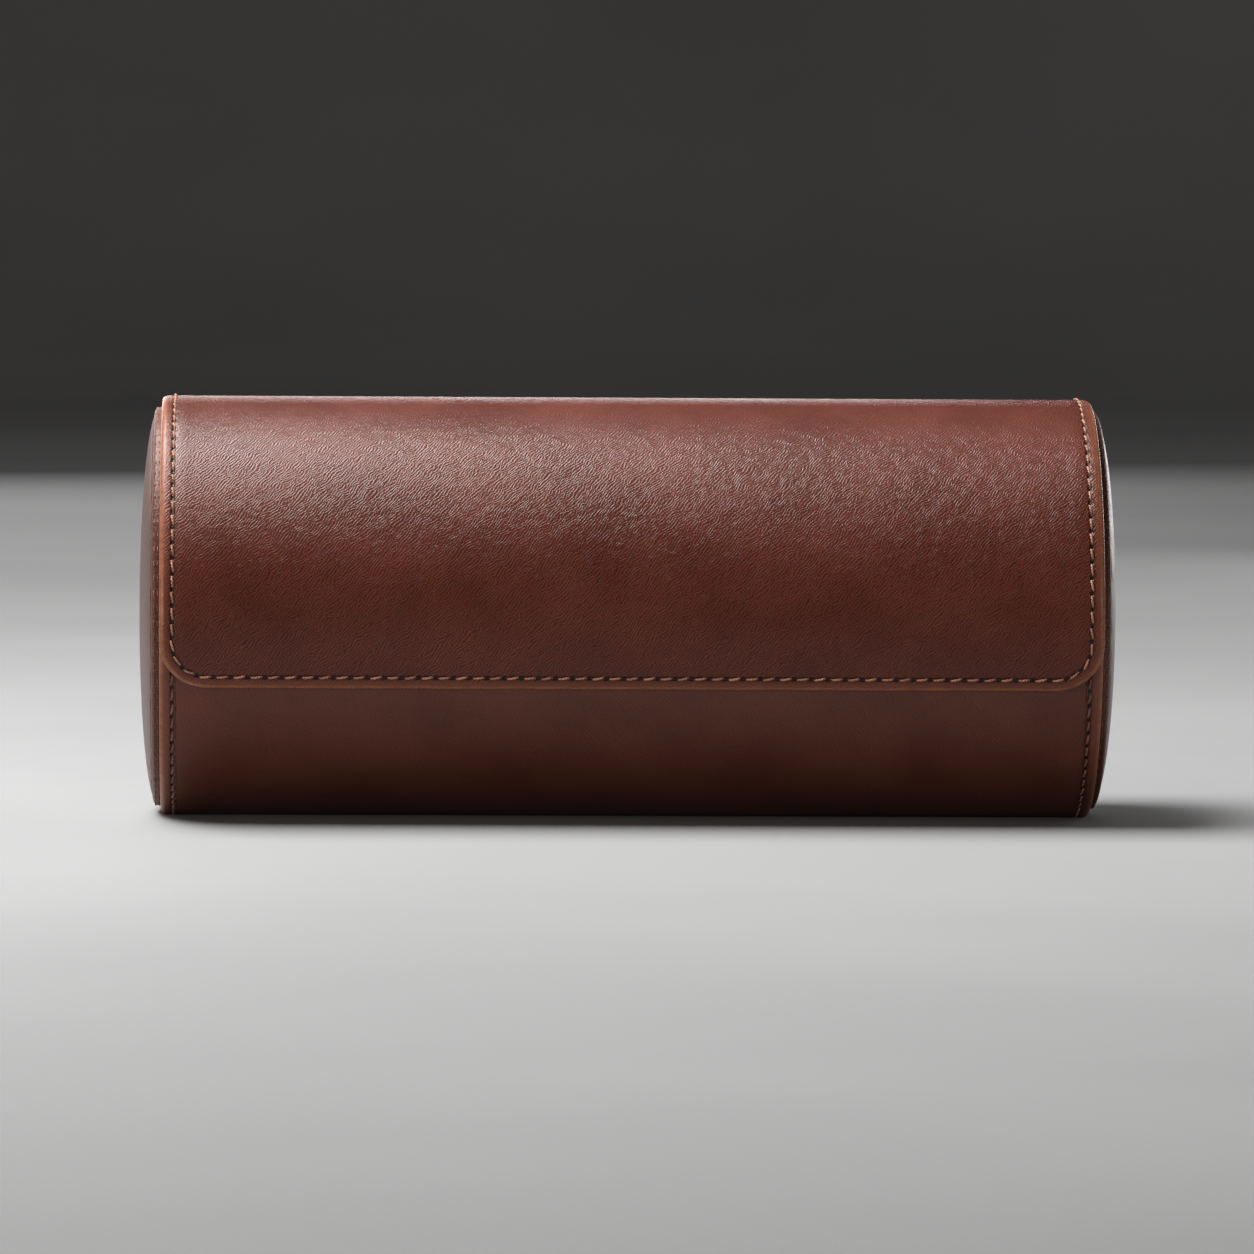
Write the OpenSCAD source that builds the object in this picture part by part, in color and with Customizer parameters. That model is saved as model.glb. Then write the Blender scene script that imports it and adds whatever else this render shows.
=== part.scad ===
// Cylindrical leather watch roll with a hinged flap and three removable watch pillows.
// The roll lies along X, its front faces -Y, and Z is up. The origin is on the surface that it
// rests on, under the middle of its outline. Angles around the roll are measured from the
// front, up over the top, to the back: 0 is the front, 90 the top and 180 the back.

/* [Roll] */
// Outer radius of the leather wrap around the case
roll_r = 43.8; // [41:0.1:48]
// Length of the leather wrap along the roll
wrap_len = 195; // [175:1:225]
// How much the wrap is flattened where the roll rests
flat_depth = 0.5; // [0.4:0.1:0.7]
// Angle of the fold line along the back that the flap turns on
hinge_angle = 150; // [140:1:156]
// Angle of the case's front lip, under the flap
lip_angle = 6; // [2:1:12]
// How far below the front the flap reaches, as an angle
flap_reach = 18; // [15:0.2:23]
// Radius of the flap's two front corners
corner_r = 10; // [6:0.5:14]

/* [Leather] */
// Thickness of the body wrap with its backing
wrap_thick = 1.7; // [1.5:0.1:2]
// Thickness of the flap's outer leather
flap_leather_thick = 1; // [0.9:0.1:1.3]
// Thickness of the flap's lining
flap_lining_thick = 0.7; // [0.6:0.1:0.9]
// Thickness of the band around each end
band_thick = 0.9; // [0.7:0.1:1.2]
// Thickness of the domed end cover
cover_thick = 1; // [0.8:0.1:1.4]
// Thickness of the binding over the front lip
binding_thick = 1.1; // [0.8:0.1:1.4]
// Height of the binding's leg down the inside of the lip
binding_leg = 5; // [3:0.5:8]
// Thickness of that leg
binding_leg_thick = 0.6; // [0.5:0.1:0.8]

/* [Stitching] */
// Distance of the stitch line from the leather's edge
stitch_inset = 2.5; // [2:0.1:3.5]
// Width of the thread
thread_w = 0.5; // [0.4:0.05:0.7]
// How deep the thread lies in the leather
thread_depth = 0.7; // [0.6:0.05:0.8]
// How far the thread stands out of the leather
thread_proud = 0.05; // [0.02:0.01:0.1]
// How deep the thread lies in the end band
band_thread_depth = 0.4; // [0.3:0.05:0.6]
// Gap in the flap's stitch line where it turns into a corner
stitch_break = 0.6; // [0.4:0.1:1]
// Distance of the rim stitches from the band's outer edge
rim_stitch_inset = 0.7; // [0.65:0.05:0.8]
// Distance of the seam stitches from the wrap's edge
seam_stitch_gap = 0.3; // [0.25:0.05:0.4]

/* [Case] */
// Thickness of the rigid core
core_thick = 2.5; // [2.3:0.1:3.2]
// Thickness of the case's lining
lining_thick = 1; // [0.7:0.1:1.4]
// How far the core stops short of the fold, as an angle
core_setback = 2.5; // [2:0.5:5]
// Gap between the two leather edges at the fold
fold_gap = 0.3; // [0.2:0.05:0.4]

/* [Ends] */
// How far each end band stands out past the wrap's edge
band_out = 1.75; // [1.65:0.05:2.4]
// How far the band's rounded rim reaches in towards the middle of the end
rim_round_in = 2; // [1.6:0.1:3]
// Length of that rounding along the roll
rim_round_out = 0.95; // [0.8:0.05:1.2]
// How deep the end board sits inside the wrap
board_inset = 4.5; // [4:0.5:7]
// Thickness of the end board
end_board_thick = 4.2; // [3:0.1:4.5]
// How far the end cover domes out past the band
dome_rise = 2.9; // [2:0.1:4.5]
// How full the dome's shoulder is: near 1 it is a steep cushion, lower it is a flat cap
dome_fullness = 0.97; // [0.85:0.01:0.98]
// Thickness of the end linings
end_lining_thick = 0.8; // [0.6:0.1:1.1]

/* [Dividers] */
// Thickness of the divider board
divider_board_thick = 1.6; // [1.2:0.1:2.4]
// Thickness of the divider's cover on each face
divider_cover_thick = 0.7; // [0.5:0.1:1]
// Height of the divider's top edge above the roll's axis
divider_top = 18; // [10:1:24]

/* [Flap board] */
// Thickness of the flap's stiffener
flap_board_thick = 1.8; // [1.2:0.1:2.2]
// Gap between the lip binding and the raised flap lining, as an angle
raised_gap = 2; // [1.5:0.5:4]
// How far the flap's stiffener stops short of the fold, as an angle
board_setback = 4; // [3:0.5:7]
// Gap between the raised flap lining and each end lining
raised_side_gap = 0.9; // [0.6:0.1:1.5]

/* [Closure] */
// Distance between the two magnets
magnet_spacing = 90; // [60:1:130]
// How far below the front the magnets sit, as an angle
magnet_drop = 8; // [6:0.5:11]
// Diameter of each magnet
magnet_d = 12; // [8:0.5:12]
// Thickness of each magnet
magnet_thick = 1.5; // [1:0.1:1.6]
// Diameter of each steel keeper in the flap
keeper_d = 10; // [8:0.5:10]
// Thickness of each keeper
keeper_thick = 0.5; // [0.4:0.05:0.6]
// Thickness of the lining left under each keeper
keeper_cover = 0.3; // [0.2:0.05:0.4]

/* [Pillows] */
// Room for a watch strap in front of and behind each pillow
strap_room = 8.9; // [7:0.1:12]
// Room for a watch above each pillow
watch_room = 27; // [22:1:32]
// Gap between a pillow and what stands beside it
pillow_side_gap = 2.7; // [1.5:0.1:4]
// Crown of each pillow's end panels
pillow_crown = 2; // [1:0.1:2.2]
// How much each pillow is drawn in towards its seams
pillow_draw = 1.8; // [0.8:0.1:3]
// Thickness of the pillow's sleeve and end panels
suede_thick = 0.9; // [0.7:0.1:1.3]

/* [Clearances] */
// Gap between the flap and the case under it, at the lip
lap_gap = 0.3; // [0.25:0.05:0.5]
// Gap between the end bands and the leather around them
band_gap = 0.3; // [0.25:0.05:0.4]
// Gap between a pillow and the lining that it rests on
seat_gap = 0.4; // [0.3:0.05:0.6]

/* [Hidden] */
$fn = 180;

leather_brown = "#5b2f22";
thread_tan = "#c0845c";
board_grey = "#8c8478";
suede_taupe = "#8a7666";
foam_cream = "#d8cdb4";
magnet_grey = "#8f9296";

full_turn = 360;
half_turn = 180;
quarter_turn = 90;
// Radii around the roll's axis, from the outside in
core_r = roll_r - wrap_thick;
lining_r = core_r - core_thick;
inner_r = lining_r - lining_thick;
band_r = core_r - band_gap;
board_r = band_r - band_thick;
lip_r = band_r - rim_round_in;

// The flap lies on a slightly larger circle, whose middle is shifted away from the fold, so that
// it is flush with the wrap at the fold and laps over the case at the front.
lap_angle = hinge_angle - half_turn;
flap_thick = flap_leather_thick + flap_lining_thick;
flap_shift = (flap_thick + lap_gap) / (1 + cos(lap_angle - lip_angle));
flap_r = roll_r + flap_shift;
flap_under_r = flap_r - flap_leather_thick;
flap_inner_r = flap_under_r - flap_lining_thick;
flap_board_r = flap_under_r - flap_board_thick;
raised_r = flap_board_r - flap_lining_thick;

// The roll's axis, placed so that the outline is centred on the origin and rests at zero
front_reach = flap_r + flap_shift * cos(lap_angle);
axis_y = (front_reach - roll_r) / 2;
axis_z = roll_r - flat_depth;

// Places along the roll, measured from its middle
wrap_end = wrap_len / 2;
band_end = wrap_end + band_out;
dome_x = band_end + dome_rise;
board_x = wrap_end - board_inset;
board_out_x = board_x + end_board_thick;
end_lining_x = board_x - end_lining_thick;
raised_x = end_lining_x - raised_side_gap;
stitch_x = wrap_end - stitch_inset;

// Angles around the roll
arc = 180 / PI;
fold_step = fold_gap / 2 / roll_r * arc;
wrap_start = hinge_angle + fold_step;
flap_start = hinge_angle - fold_step;
core_start = hinge_angle + core_setback;
case_stop = full_turn + lip_angle;
binding_step = binding_thick / roll_r * arc;
binding_leg_step = binding_leg / inner_r * arc;
raised_start = lip_angle + binding_step + raised_gap;
raised_stop = hinge_angle - board_setback;
raised_wall_step = flap_lining_thick / flap_board_r * arc;
corner_step = corner_r / flap_r * arc;
lip_stitch_step = stitch_inset / roll_r * arc;
half_thread_step = thread_w / 2 / roll_r * arc;

// Dividers and pillows share the length between the end linings
divider_thick = divider_board_thick + 2 * divider_cover_thick;
compartment = (2 * end_lining_x - 2 * divider_thick) / 3;
pillow_pitch = compartment + divider_thick;
divider_x = pillow_pitch / 2;
pillow_half_len = compartment / 2 - pillow_side_gap - suede_thick - pillow_crown;
pillow_half_w = inner_r - strap_room;
pillow_low = seat_gap - inner_r;
pillow_high = raised_r - flap_shift - watch_room;
pillow_half_h = (pillow_high - pillow_low) / 2;
pillow_z = (pillow_high + pillow_low) / 2;
dome_steps = 12;
rim_steps = 6;
pillow_sides = 28;
pillow_steps = 8;
// Radii of the rings across each end panel, as shares, from its seam inwards
panel_rings = [1, 0.8, 0.5, 0.2];
seam_power = 4;

far = 3 * roll_r;
wedge_step = 30;
skin = 0.01;
// The corner's arc is this much fuller, so that it crosses the flap's edges cleanly
corner_ease = 0.05;

// A point at this angle and distance from a circle's middle, as [y, z]
function around(angle, distance) = [-distance * cos(angle), distance * sin(angle)];

// Puts children at the middle of the case's circle
module at_case() {
  translate([0, axis_y, axis_z]) children();
}

// Puts children at the middle of the flap's circle
module at_flap() {
  shift = around(lap_angle, flap_shift);
  translate([0, axis_y + shift.x, axis_z + shift.y]) children();
}

// Stands children on a circle around the origin, with their Z pointing outwards
module facing(angle, distance) {
  rotate([quarter_turn - angle, 0, 0]) translate([0, 0, distance]) children();
}

// Extrudes a [y, z] outline along X between two places
module along_x(from, to) {
  translate([from, 0, 0]) rotate([quarter_turn, 0, quarter_turn]) linear_extrude(to - from) children();
}

// A wedge of the plane between two angles
module wedge(from, to) {
  steps = ceil((to - from) / wedge_step);
  polygon(concat([[0, 0]], [for (i = [0 : steps]) around(from + (to - from) * i / steps, far)]));
}

// A curved wall between two radii and two angles
module curved_wall(inner, outer, from, to, half_len) {
  along_x(-half_len, half_len)
    intersection() {
      difference() {
        circle(outer);
        circle(inner);
      }
      wedge(from, to);
    }
}

// Keeps only what lies above the resting surface
module above_floor() {
  intersection() {
    children();
    translate([-wrap_len, -far, 0]) cube([2 * wrap_len, 2 * far, 2 * far]);
  }
}

// Turns a right end piece, built along +X, to either end
module at_end(side) {
  at_case() rotate([0, side * quarter_turn, 0]) children();
}

// A ring around the roll's axis, in an end's frame
module end_ring(inner, outer, from, to) {
  translate([0, 0, from]) difference() {
    cylinder(r = outer, h = to - from);
    translate([0, 0, -skin]) cylinder(r = inner, h = to - from + 2 * skin);
  }
}

// How high the dome stands at this share of its radius, as a share of its rise
function dome_height(share) =
  let (edge = sqrt(1 - dome_fullness * dome_fullness))
    (sqrt(1 - pow(dome_fullness * share, 2)) - edge) / (1 - edge);

// The dome's outline from its rim to its middle, over this height, as [radius, height]
function dome_line(rim) = [
  for (i = [dome_steps : -1 : 0])
    let (share = sin(quarter_turn * i / dome_steps)) [lip_r * share, rim + dome_rise * dome_height(share)]
];

// The rounded rim of an end band, from its side to its edge, as [radius, height]
rim_line = [
  for (i = [0 : rim_steps])
    let (a = quarter_turn * i / rim_steps)
      [lip_r + rim_round_in * cos(a), band_end - rim_round_out * (1 - sin(a))]
];

// How far the middle of the rim stitches is from the roll's axis
rim_seam_r = lip_r + rim_round_in * sqrt(1 - pow(max(0, 1 - rim_stitch_inset / rim_round_out), 2));

// A list of points in the opposite order
function backwards(points) = [for (i = [len(points) - 1 : -1 : 0]) points[i]];

// Stitches along the body wrap's side edges and along its front lip
module wrap_stitch_lines() {
  at_case() {
    for (side = [-1, 1])
      translate([side * stitch_x, 0, 0])
        curved_wall(roll_r - thread_depth, roll_r + thread_proud, wrap_start, case_stop, thread_w / 2);
    lip_line = case_stop - lip_stitch_step;
    curved_wall(roll_r - thread_depth, roll_r + thread_proud, lip_line - half_thread_step,
                lip_line + half_thread_step, stitch_x);
  }
}

// One rounded corner of the flap's stitch line, a stitch short of the lines that it joins
module corner_stitch(side) {
  line_r = corner_r - stitch_inset;
  middle = corner_step / 2 - flap_reach;
  reach = corner_r - stitch_break;
  intersection() {
    curved_wall(flap_r - thread_depth, flap_r + thread_proud, -flap_reach, lip_angle, wrap_end);
    facing(middle, 0)
      translate([side * (wrap_end - corner_r), flap_r * sin(corner_step / 2), flap_r - corner_r])
        intersection() {
          difference() {
            cylinder(r = line_r + thread_w / 2, h = 2 * corner_r);
            translate([0, 0, -skin]) cylinder(r = line_r - thread_w / 2, h = 2 * corner_r + 2 * skin);
          }
          translate([side > 0 ? stitch_break : -corner_r, -corner_r, 0]) cube([reach, reach, 2 * corner_r]);
        }
  }
}

// Stitches along the flap's two sides, its front edge and its corners
module flap_stitch_lines() {
  front_line = stitch_inset / flap_r * arc - flap_reach;
  at_flap() {
    for (side = [-1, 1]) {
      translate([side * stitch_x, 0, 0])
        curved_wall(flap_r - thread_depth, flap_r + thread_proud, corner_step - flap_reach, flap_start,
                    thread_w / 2);
      corner_stitch(side);
    }
    curved_wall(flap_r - thread_depth, flap_r + thread_proud, front_line - half_thread_step,
                front_line + half_thread_step, wrap_end - corner_r);
  }
}

// What lies outside one rounded front corner of the flap
module flap_corner_waste(side) {
  middle = corner_step / 2 - flap_reach;
  facing(middle, 0)
    translate([side * (wrap_end - corner_r), flap_r * sin(corner_step / 2), flap_r - corner_r])
      difference() {
        translate([side > 0 ? 0 : -2 * corner_r, -2 * corner_r, 0])
          cube([2 * corner_r, 2 * corner_r, 2 * corner_r]);
        translate([0, 0, -skin])
          rotate([0, 0, quarter_turn / 2]) cylinder(r = corner_r + corner_ease, h = 2 * corner_r + 2 * skin);
      }
}

// A layer of the flap between two radii, with its front corners rounded
module flap_layer(inner, outer) {
  at_flap()
    difference() {
      curved_wall(inner, outer, -flap_reach, flap_start, wrap_end);
      flap_corner_waste(-1);
      flap_corner_waste(1);
    }
}

// The two magnets, or with a larger height their bores
module magnets(height) {
  seat_r = sqrt(core_r * core_r - magnet_d * magnet_d / 4) - magnet_thick;
  at_case()
    for (side = [-1, 1])
      translate([side * magnet_spacing / 2, 0, 0])
        facing(-magnet_drop, seat_r) cylinder(d = magnet_d, h = height);
}

// The two steel keepers
module keepers() {
  seat_r = flap_inner_r + keeper_cover;
  at_flap()
    for (side = [-1, 1])
      translate([side * magnet_spacing / 2, 0, 0])
        facing(-magnet_drop, seat_r) cylinder(d = keeper_d, h = keeper_thick);
}

module case_core() {
  color(board_grey)
    difference() {
      at_case() curved_wall(lining_r, core_r, core_start, case_stop, board_x);
      magnets(2 * core_thick);
    }
}

module case_lining() {
  color(suede_taupe) at_case() curved_wall(inner_r, lining_r, wrap_start, case_stop, board_x);
}

module lip_binding() {
  color(leather_brown)
    at_case() {
      curved_wall(inner_r, roll_r, case_stop, case_stop + binding_step, board_x);
      curved_wall(inner_r - binding_leg_thick, inner_r, case_stop - binding_leg_step,
                  case_stop + binding_step, end_lining_x);
    }
}

module body_wrap() {
  color(leather_brown)
    above_floor()
      difference() {
        at_case() curved_wall(core_r, roll_r, wrap_start, case_stop, wrap_end);
        wrap_stitch_lines();
      }
}

module wrap_thread() {
  color(thread_tan) above_floor() wrap_stitch_lines();
}

module case_magnets() {
  color(magnet_grey) magnets(magnet_thick);
}

module end_board(side) {
  color(board_grey)
    at_end(side) translate([0, 0, board_x]) cylinder(r = board_r, h = end_board_thick);
}

module end_pad(side) {
  foot = [[0, board_out_x], [board_r, board_out_x]];
  shoulder = [[board_r, band_end - rim_round_out], [lip_r, band_end - band_thick]];
  color(foam_cream)
    at_end(side) rotate_extrude() polygon(concat(foot, shoulder, dome_line(band_end - cover_thick)));
}

module end_cover(side) {
  color(leather_brown)
    at_end(side)
      rotate_extrude() polygon(concat(dome_line(band_end), backwards(dome_line(band_end - cover_thick))));
}

// The two thread rings of one end: the rim stitches and the seam stitches beside the wrap
module end_stitch_lines(side) {
  rim_seam = [rim_seam_r, band_end - rim_stitch_inset];
  wrap_seam = [band_r, wrap_end + seam_stitch_gap];
  at_end(side)
    for (seam = [rim_seam, wrap_seam])
      end_ring(seam.x - band_thread_depth, seam.x + thread_proud, seam.y - thread_w / 2,
               seam.y + thread_w / 2);
}

module end_band(side) {
  foot = [[board_r, board_x], [band_r, board_x]];
  inside = [[lip_r, band_end - band_thick], [board_r, band_end - rim_round_out]];
  color(leather_brown)
    difference() {
      at_end(side) rotate_extrude() polygon(concat(foot, rim_line, inside));
      end_stitch_lines(side);
    }
}

module end_thread(side) {
  color(thread_tan) end_stitch_lines(side);
}

// A disc that faces the compartments, notched where the case's wall stands against the board
module end_lining(side) {
  low = side > 0 ? end_lining_x : -board_x;
  color(suede_taupe)
    at_case()
      along_x(low, low + end_lining_thick)
        difference() {
          circle(board_r);
          difference() {
            wedge(hinge_angle, case_stop + binding_step);
            circle(inner_r);
          }
        }
}

// The outline of a divider, which fits the lining and is cut level at this height over the axis
module divider_outline(top) {
  intersection() {
    circle(inner_r);
    translate([-far, -far]) square([2 * far, far + top]);
  }
}

// The room that the lip binding's leg takes along the lining
module binding_leg_room() {
  at_case()
    curved_wall(inner_r - binding_leg_thick, inner_r + lining_thick, case_stop - binding_leg_step,
                case_stop + quarter_turn / 2, end_lining_x);
}

module divider_board(side) {
  color(board_grey)
    difference() {
      at_case()
        translate([side * divider_x, 0, 0])
          along_x(-divider_board_thick / 2, divider_board_thick / 2)
            divider_outline(divider_top - divider_cover_thick);
      binding_leg_room();
    }
}

// The divider's cover is folded over the board's top edge and open along its round edge
module divider_cover(side) {
  color(suede_taupe)
    difference() {
      at_case()
        translate([side * divider_x, 0, 0])
          along_x(-divider_thick / 2, divider_thick / 2) divider_outline(divider_top);
      at_case()
        translate([side * divider_x, 0, 0])
          along_x(-divider_board_thick / 2, divider_board_thick / 2)
            translate([-far, -far]) square([2 * far, far + divider_top - divider_cover_thick]);
      binding_leg_room();
    }
}

module flap_leather() {
  color(leather_brown)
    difference() {
      flap_layer(flap_under_r, flap_r);
      flap_stitch_lines();
      keepers();
    }
}

module flap_board() {
  color(board_grey)
    at_flap()
      curved_wall(flap_board_r, flap_under_r, raised_start + raised_wall_step,
                  raised_stop - raised_wall_step, raised_x - flap_lining_thick);
}

module flap_lining() {
  color(suede_taupe)
    difference() {
      union() {
        flap_layer(flap_inner_r, flap_under_r);
        at_flap() curved_wall(raised_r, flap_under_r, raised_start, raised_stop, raised_x);
      }
      flap_board();
      keepers();
    }
}

module flap_keepers() {
  color(magnet_grey) keepers();
}

module flap_thread() {
  color(thread_tan) flap_stitch_lines();
}

// How wide a pillow is at a place along it, as a share: fullest in the middle
function pillow_share(x) = 1 - pillow_draw / pillow_half_w * pow(abs(x) / pillow_half_len, seam_power);

// One oval ring of points across a pillow, in [x, y, z]
function pillow_ring(x, share, outside) = [
  for (i = [0 : pillow_sides - 1])
    let (a = full_turn * i / pillow_sides)
      [x, share * (pillow_half_w - suede_thick) * cos(a) + outside * cos(a),
       share * (pillow_half_h - suede_thick) * sin(a) + outside * sin(a)]
];

// The places of the rings along the pillow's side, from one seam to the other
pillow_places = [for (i = [0 : pillow_steps]) pillow_half_len * (2 * i / pillow_steps - 1)];
// How far an end panel's ring stands out of its seam's plane
function panel_rise(ring) = pillow_crown * (1 - ring * ring);
seam_share = pillow_share(pillow_half_len);

// Joins a list of rings into one solid: capped at both ends, or closed on itself like a tube's wall
module loft(rings, closed) {
  n = len(rings[0]);
  m = len(rings);
  spans = closed ? m : m - 1;
  sides = [
    for (j = [0 : spans - 1], i = [0 : n - 1])
      let (next_i = (i + 1) % n, next_j = (j + 1) % m)
      let (a = j * n + i, b = j * n + next_i, c = next_j * n + i, d = next_j * n + next_i)
        each [[a, b, d], [a, d, c]]
  ];
  caps = closed ? [] : [
    for (i = [1 : n - 2]) each [[0, i + 1, i], [(m - 1) * n, (m - 1) * n + i, (m - 1) * n + i + 1]]
  ];
  polyhedron(points = [for (ring = rings) each ring], faces = concat(sides, caps));
}

module at_pillow(place) {
  translate([place * pillow_pitch, axis_y, axis_z + pillow_z]) children();
}

module pillow_core(place) {
  left_panel = [
    for (i = [len(panel_rings) - 1 : -1 : 1])
      pillow_ring(-pillow_half_len - panel_rise(panel_rings[i]), seam_share * panel_rings[i], 0)
  ];
  right_panel = [
    for (i = [1 : len(panel_rings) - 1])
      pillow_ring(pillow_half_len + panel_rise(panel_rings[i]), seam_share * panel_rings[i], 0)
  ];
  side = [for (x = pillow_places) pillow_ring(x, pillow_share(x), 0)];
  color(foam_cream) at_pillow(place) loft(concat(left_panel, side, right_panel), false);
}

module pillow_sleeve(place) {
  outer = [for (x = pillow_places) pillow_ring(x, pillow_share(x), suede_thick)];
  inner = [for (x = backwards(pillow_places)) pillow_ring(x, pillow_share(x), 0)];
  color(suede_taupe) at_pillow(place) loft(concat(outer, inner), true);
}

// One end panel lies over the core's crown and the sleeve's edge
module pillow_panel() {
  under = [
    for (i = [len(panel_rings) - 1 : -1 : 0])
      pillow_ring(pillow_half_len + panel_rise(panel_rings[i]), seam_share * panel_rings[i], 0)
  ];
  edge = [
    pillow_ring(pillow_half_len, seam_share, suede_thick),
    pillow_ring(pillow_half_len + suede_thick, seam_share, suede_thick)
  ];
  over = [
    for (i = [1 : len(panel_rings) - 1])
      pillow_ring(pillow_half_len + suede_thick + panel_rise(panel_rings[i]), seam_share * panel_rings[i], 0)
  ];
  loft(concat(under, edge, over), false);
}

module pillow_ends(place) {
  color(suede_taupe)
    at_pillow(place) {
      pillow_panel();
      mirror([1, 0, 0]) pillow_panel();
    }
}

case_core();
case_lining();
lip_binding();
body_wrap();
wrap_thread();
case_magnets();
end_board(-1);  // end_board_left
end_board(1);  // end_board_right
end_pad(-1);  // end_pad_left
end_pad(1);  // end_pad_right
end_cover(-1);  // end_cover_left
end_cover(1);  // end_cover_right
end_band(-1);  // end_band_left
end_band(1);  // end_band_right
end_lining(-1);  // end_lining_left
end_lining(1);  // end_lining_right
end_thread(-1);  // end_thread_left
end_thread(1);  // end_thread_right
divider_board(-1);  // divider_board_left
divider_board(1);  // divider_board_right
divider_cover(-1);  // divider_cover_left
divider_cover(1);  // divider_cover_right
flap_leather();
flap_board();
flap_lining();
flap_keepers();
flap_thread();
pillow_core(-1);  // pillow_core_left
pillow_core(0);  // pillow_core_middle
pillow_core(1);  // pillow_core_right
pillow_sleeve(-1);  // pillow_sleeve_left
pillow_sleeve(0);  // pillow_sleeve_middle
pillow_sleeve(1);  // pillow_sleeve_right
pillow_ends(-1);  // pillow_ends_left
pillow_ends(0);  // pillow_ends_middle
pillow_ends(1);  // pillow_ends_right
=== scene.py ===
import math
from math import cos, hypot, pi, radians, sin, sqrt

import bmesh
import bpy
import numpy as np
from mathutils import Matrix, Vector, noise


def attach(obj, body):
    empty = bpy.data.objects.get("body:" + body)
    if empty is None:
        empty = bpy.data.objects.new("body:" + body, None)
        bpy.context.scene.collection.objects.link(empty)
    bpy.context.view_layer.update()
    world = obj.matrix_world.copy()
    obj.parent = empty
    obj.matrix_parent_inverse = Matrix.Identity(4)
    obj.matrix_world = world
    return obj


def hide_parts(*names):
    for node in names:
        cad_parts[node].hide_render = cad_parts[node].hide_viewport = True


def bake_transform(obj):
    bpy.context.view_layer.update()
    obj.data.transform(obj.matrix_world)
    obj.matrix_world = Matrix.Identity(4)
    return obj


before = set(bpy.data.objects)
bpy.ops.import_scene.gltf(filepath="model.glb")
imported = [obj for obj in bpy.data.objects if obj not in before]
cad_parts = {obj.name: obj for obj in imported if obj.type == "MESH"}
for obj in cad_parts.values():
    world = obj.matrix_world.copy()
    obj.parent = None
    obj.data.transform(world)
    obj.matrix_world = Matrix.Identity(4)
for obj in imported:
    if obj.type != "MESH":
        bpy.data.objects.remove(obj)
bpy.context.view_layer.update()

MM = 0.001
QUARTER = pi / 2
TURN = 2 * pi

# Driving sizes, as in the part's source
ROLL_R = 43.8
FLAT_DEPTH = 0.5
WRAP_END = 97.5
HINGE = 150.0
LIP = 6.0
FLAP_REACH = 18.0
CORNER_R = 10.0
WRAP_THICK = 1.7
FLAP_THICK = 1.7
FLAP_BOARD_THICK = 1.8
FLAP_LEATHER_THICK = 1.0
LAP_GAP = 0.3
CORE_THICK = 2.5
LINING_THICK = 1.0
BAND_GAP = 0.3
BAND_THICK = 0.9
BAND_OUT = 1.75
RIM_ROUND_IN = 2.0
RIM_ROUND_OUT = 0.95
DOME_RISE = 2.9
DOME_FULLNESS = 0.97
BOARD_INSET = 4.5
END_LINING_THICK = 0.8
BINDING_THICK = 1.1
DIVIDER_THICK = 3.0
DIVIDER_TOP = 18.0
PILLOW_HALF_LEN = 24.1
STITCH_INSET = 2.7
ROUNDED_EDGE_EASE = 0.5
RIM_STITCH_INSET = 0.7
SEAM_STITCH_GAP = 0.3
EDGE_PITCH = 3.55
SIDE_PITCH = 3.35
RIM_PITCH = 3.1

# Sizes worked out from them
SHIFT = (FLAP_THICK + LAP_GAP) / (1 + cos(radians(HINGE - 180 - LIP)))
FLAP_R = ROLL_R + SHIFT
SHIFT_ANGLE = radians(HINGE - 180)
FRONT = FLAP_R + SHIFT * cos(SHIFT_ANGLE)
AXIS = np.array([(FRONT - ROLL_R) / 2, ROLL_R - FLAT_DEPTH])
FLAP_AXIS = AXIS + SHIFT * np.array([-cos(SHIFT_ANGLE), sin(SHIFT_ANGLE)])
CORE_R = ROLL_R - WRAP_THICK
LINING_R = CORE_R - CORE_THICK
INNER_R = LINING_R - LINING_THICK
BAND_R = CORE_R - BAND_GAP
BOARD_R = BAND_R - BAND_THICK
LIP_R = BAND_R - RIM_ROUND_IN
BAND_END = WRAP_END + BAND_OUT
BOARD_X = WRAP_END - BOARD_INSET
END_LINING_X = BOARD_X - END_LINING_THICK
RAISED_R = FLAP_R - FLAP_LEATHER_THICK - FLAP_BOARD_THICK - (FLAP_THICK - FLAP_LEATHER_THICK)
PITCH_X = (2 * END_LINING_X - 2 * DIVIDER_THICK) / 3 + DIVIDER_THICK
PLACES = {"left": -1, "middle": 0, "right": 1}
SIDES = {"left": -1, "right": 1}

# What the attribute seam says where leather has no stitched edge nearby
FAR_INSIDE = 9.0
NO_SEAM = (0.0, FAR_INSIDE, 0.0)


def joined(*parts):
    """Arrays of coordinates put together into points."""
    return np.stack(parts, axis=-1)


def on_circle(middle, radius, angle, x):
    """Points around the roll, with the angle in degrees from the front over the top."""
    a = np.radians(angle)
    return joined(x + 0 * a, middle[0] - radius * np.cos(a), middle[1] + radius * np.sin(a))


def smooth_step(low, high, value):
    t = np.clip((value - low) / (high - low), 0, 1)
    return t * t * (3 - 2 * t)


def spaced(low, high, step, fine_at=(), fine_step=0.3, reach=1.5):
    """Places from low to high, a step apart, and closer together around the places in fine_at."""
    places = list(np.linspace(low, high, max(2, round((high - low) / step) + 1)))
    for middle in fine_at:
        places += [p for p in np.arange(middle - reach, middle + reach, fine_step) if low < p < high]
    places.sort()
    kept = [low]
    for place in places[1:]:
        if place - kept[-1] > 0.6 * fine_step and high - place > 0.3 * fine_step:
            kept.append(place)
    return kept + [high]


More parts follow.
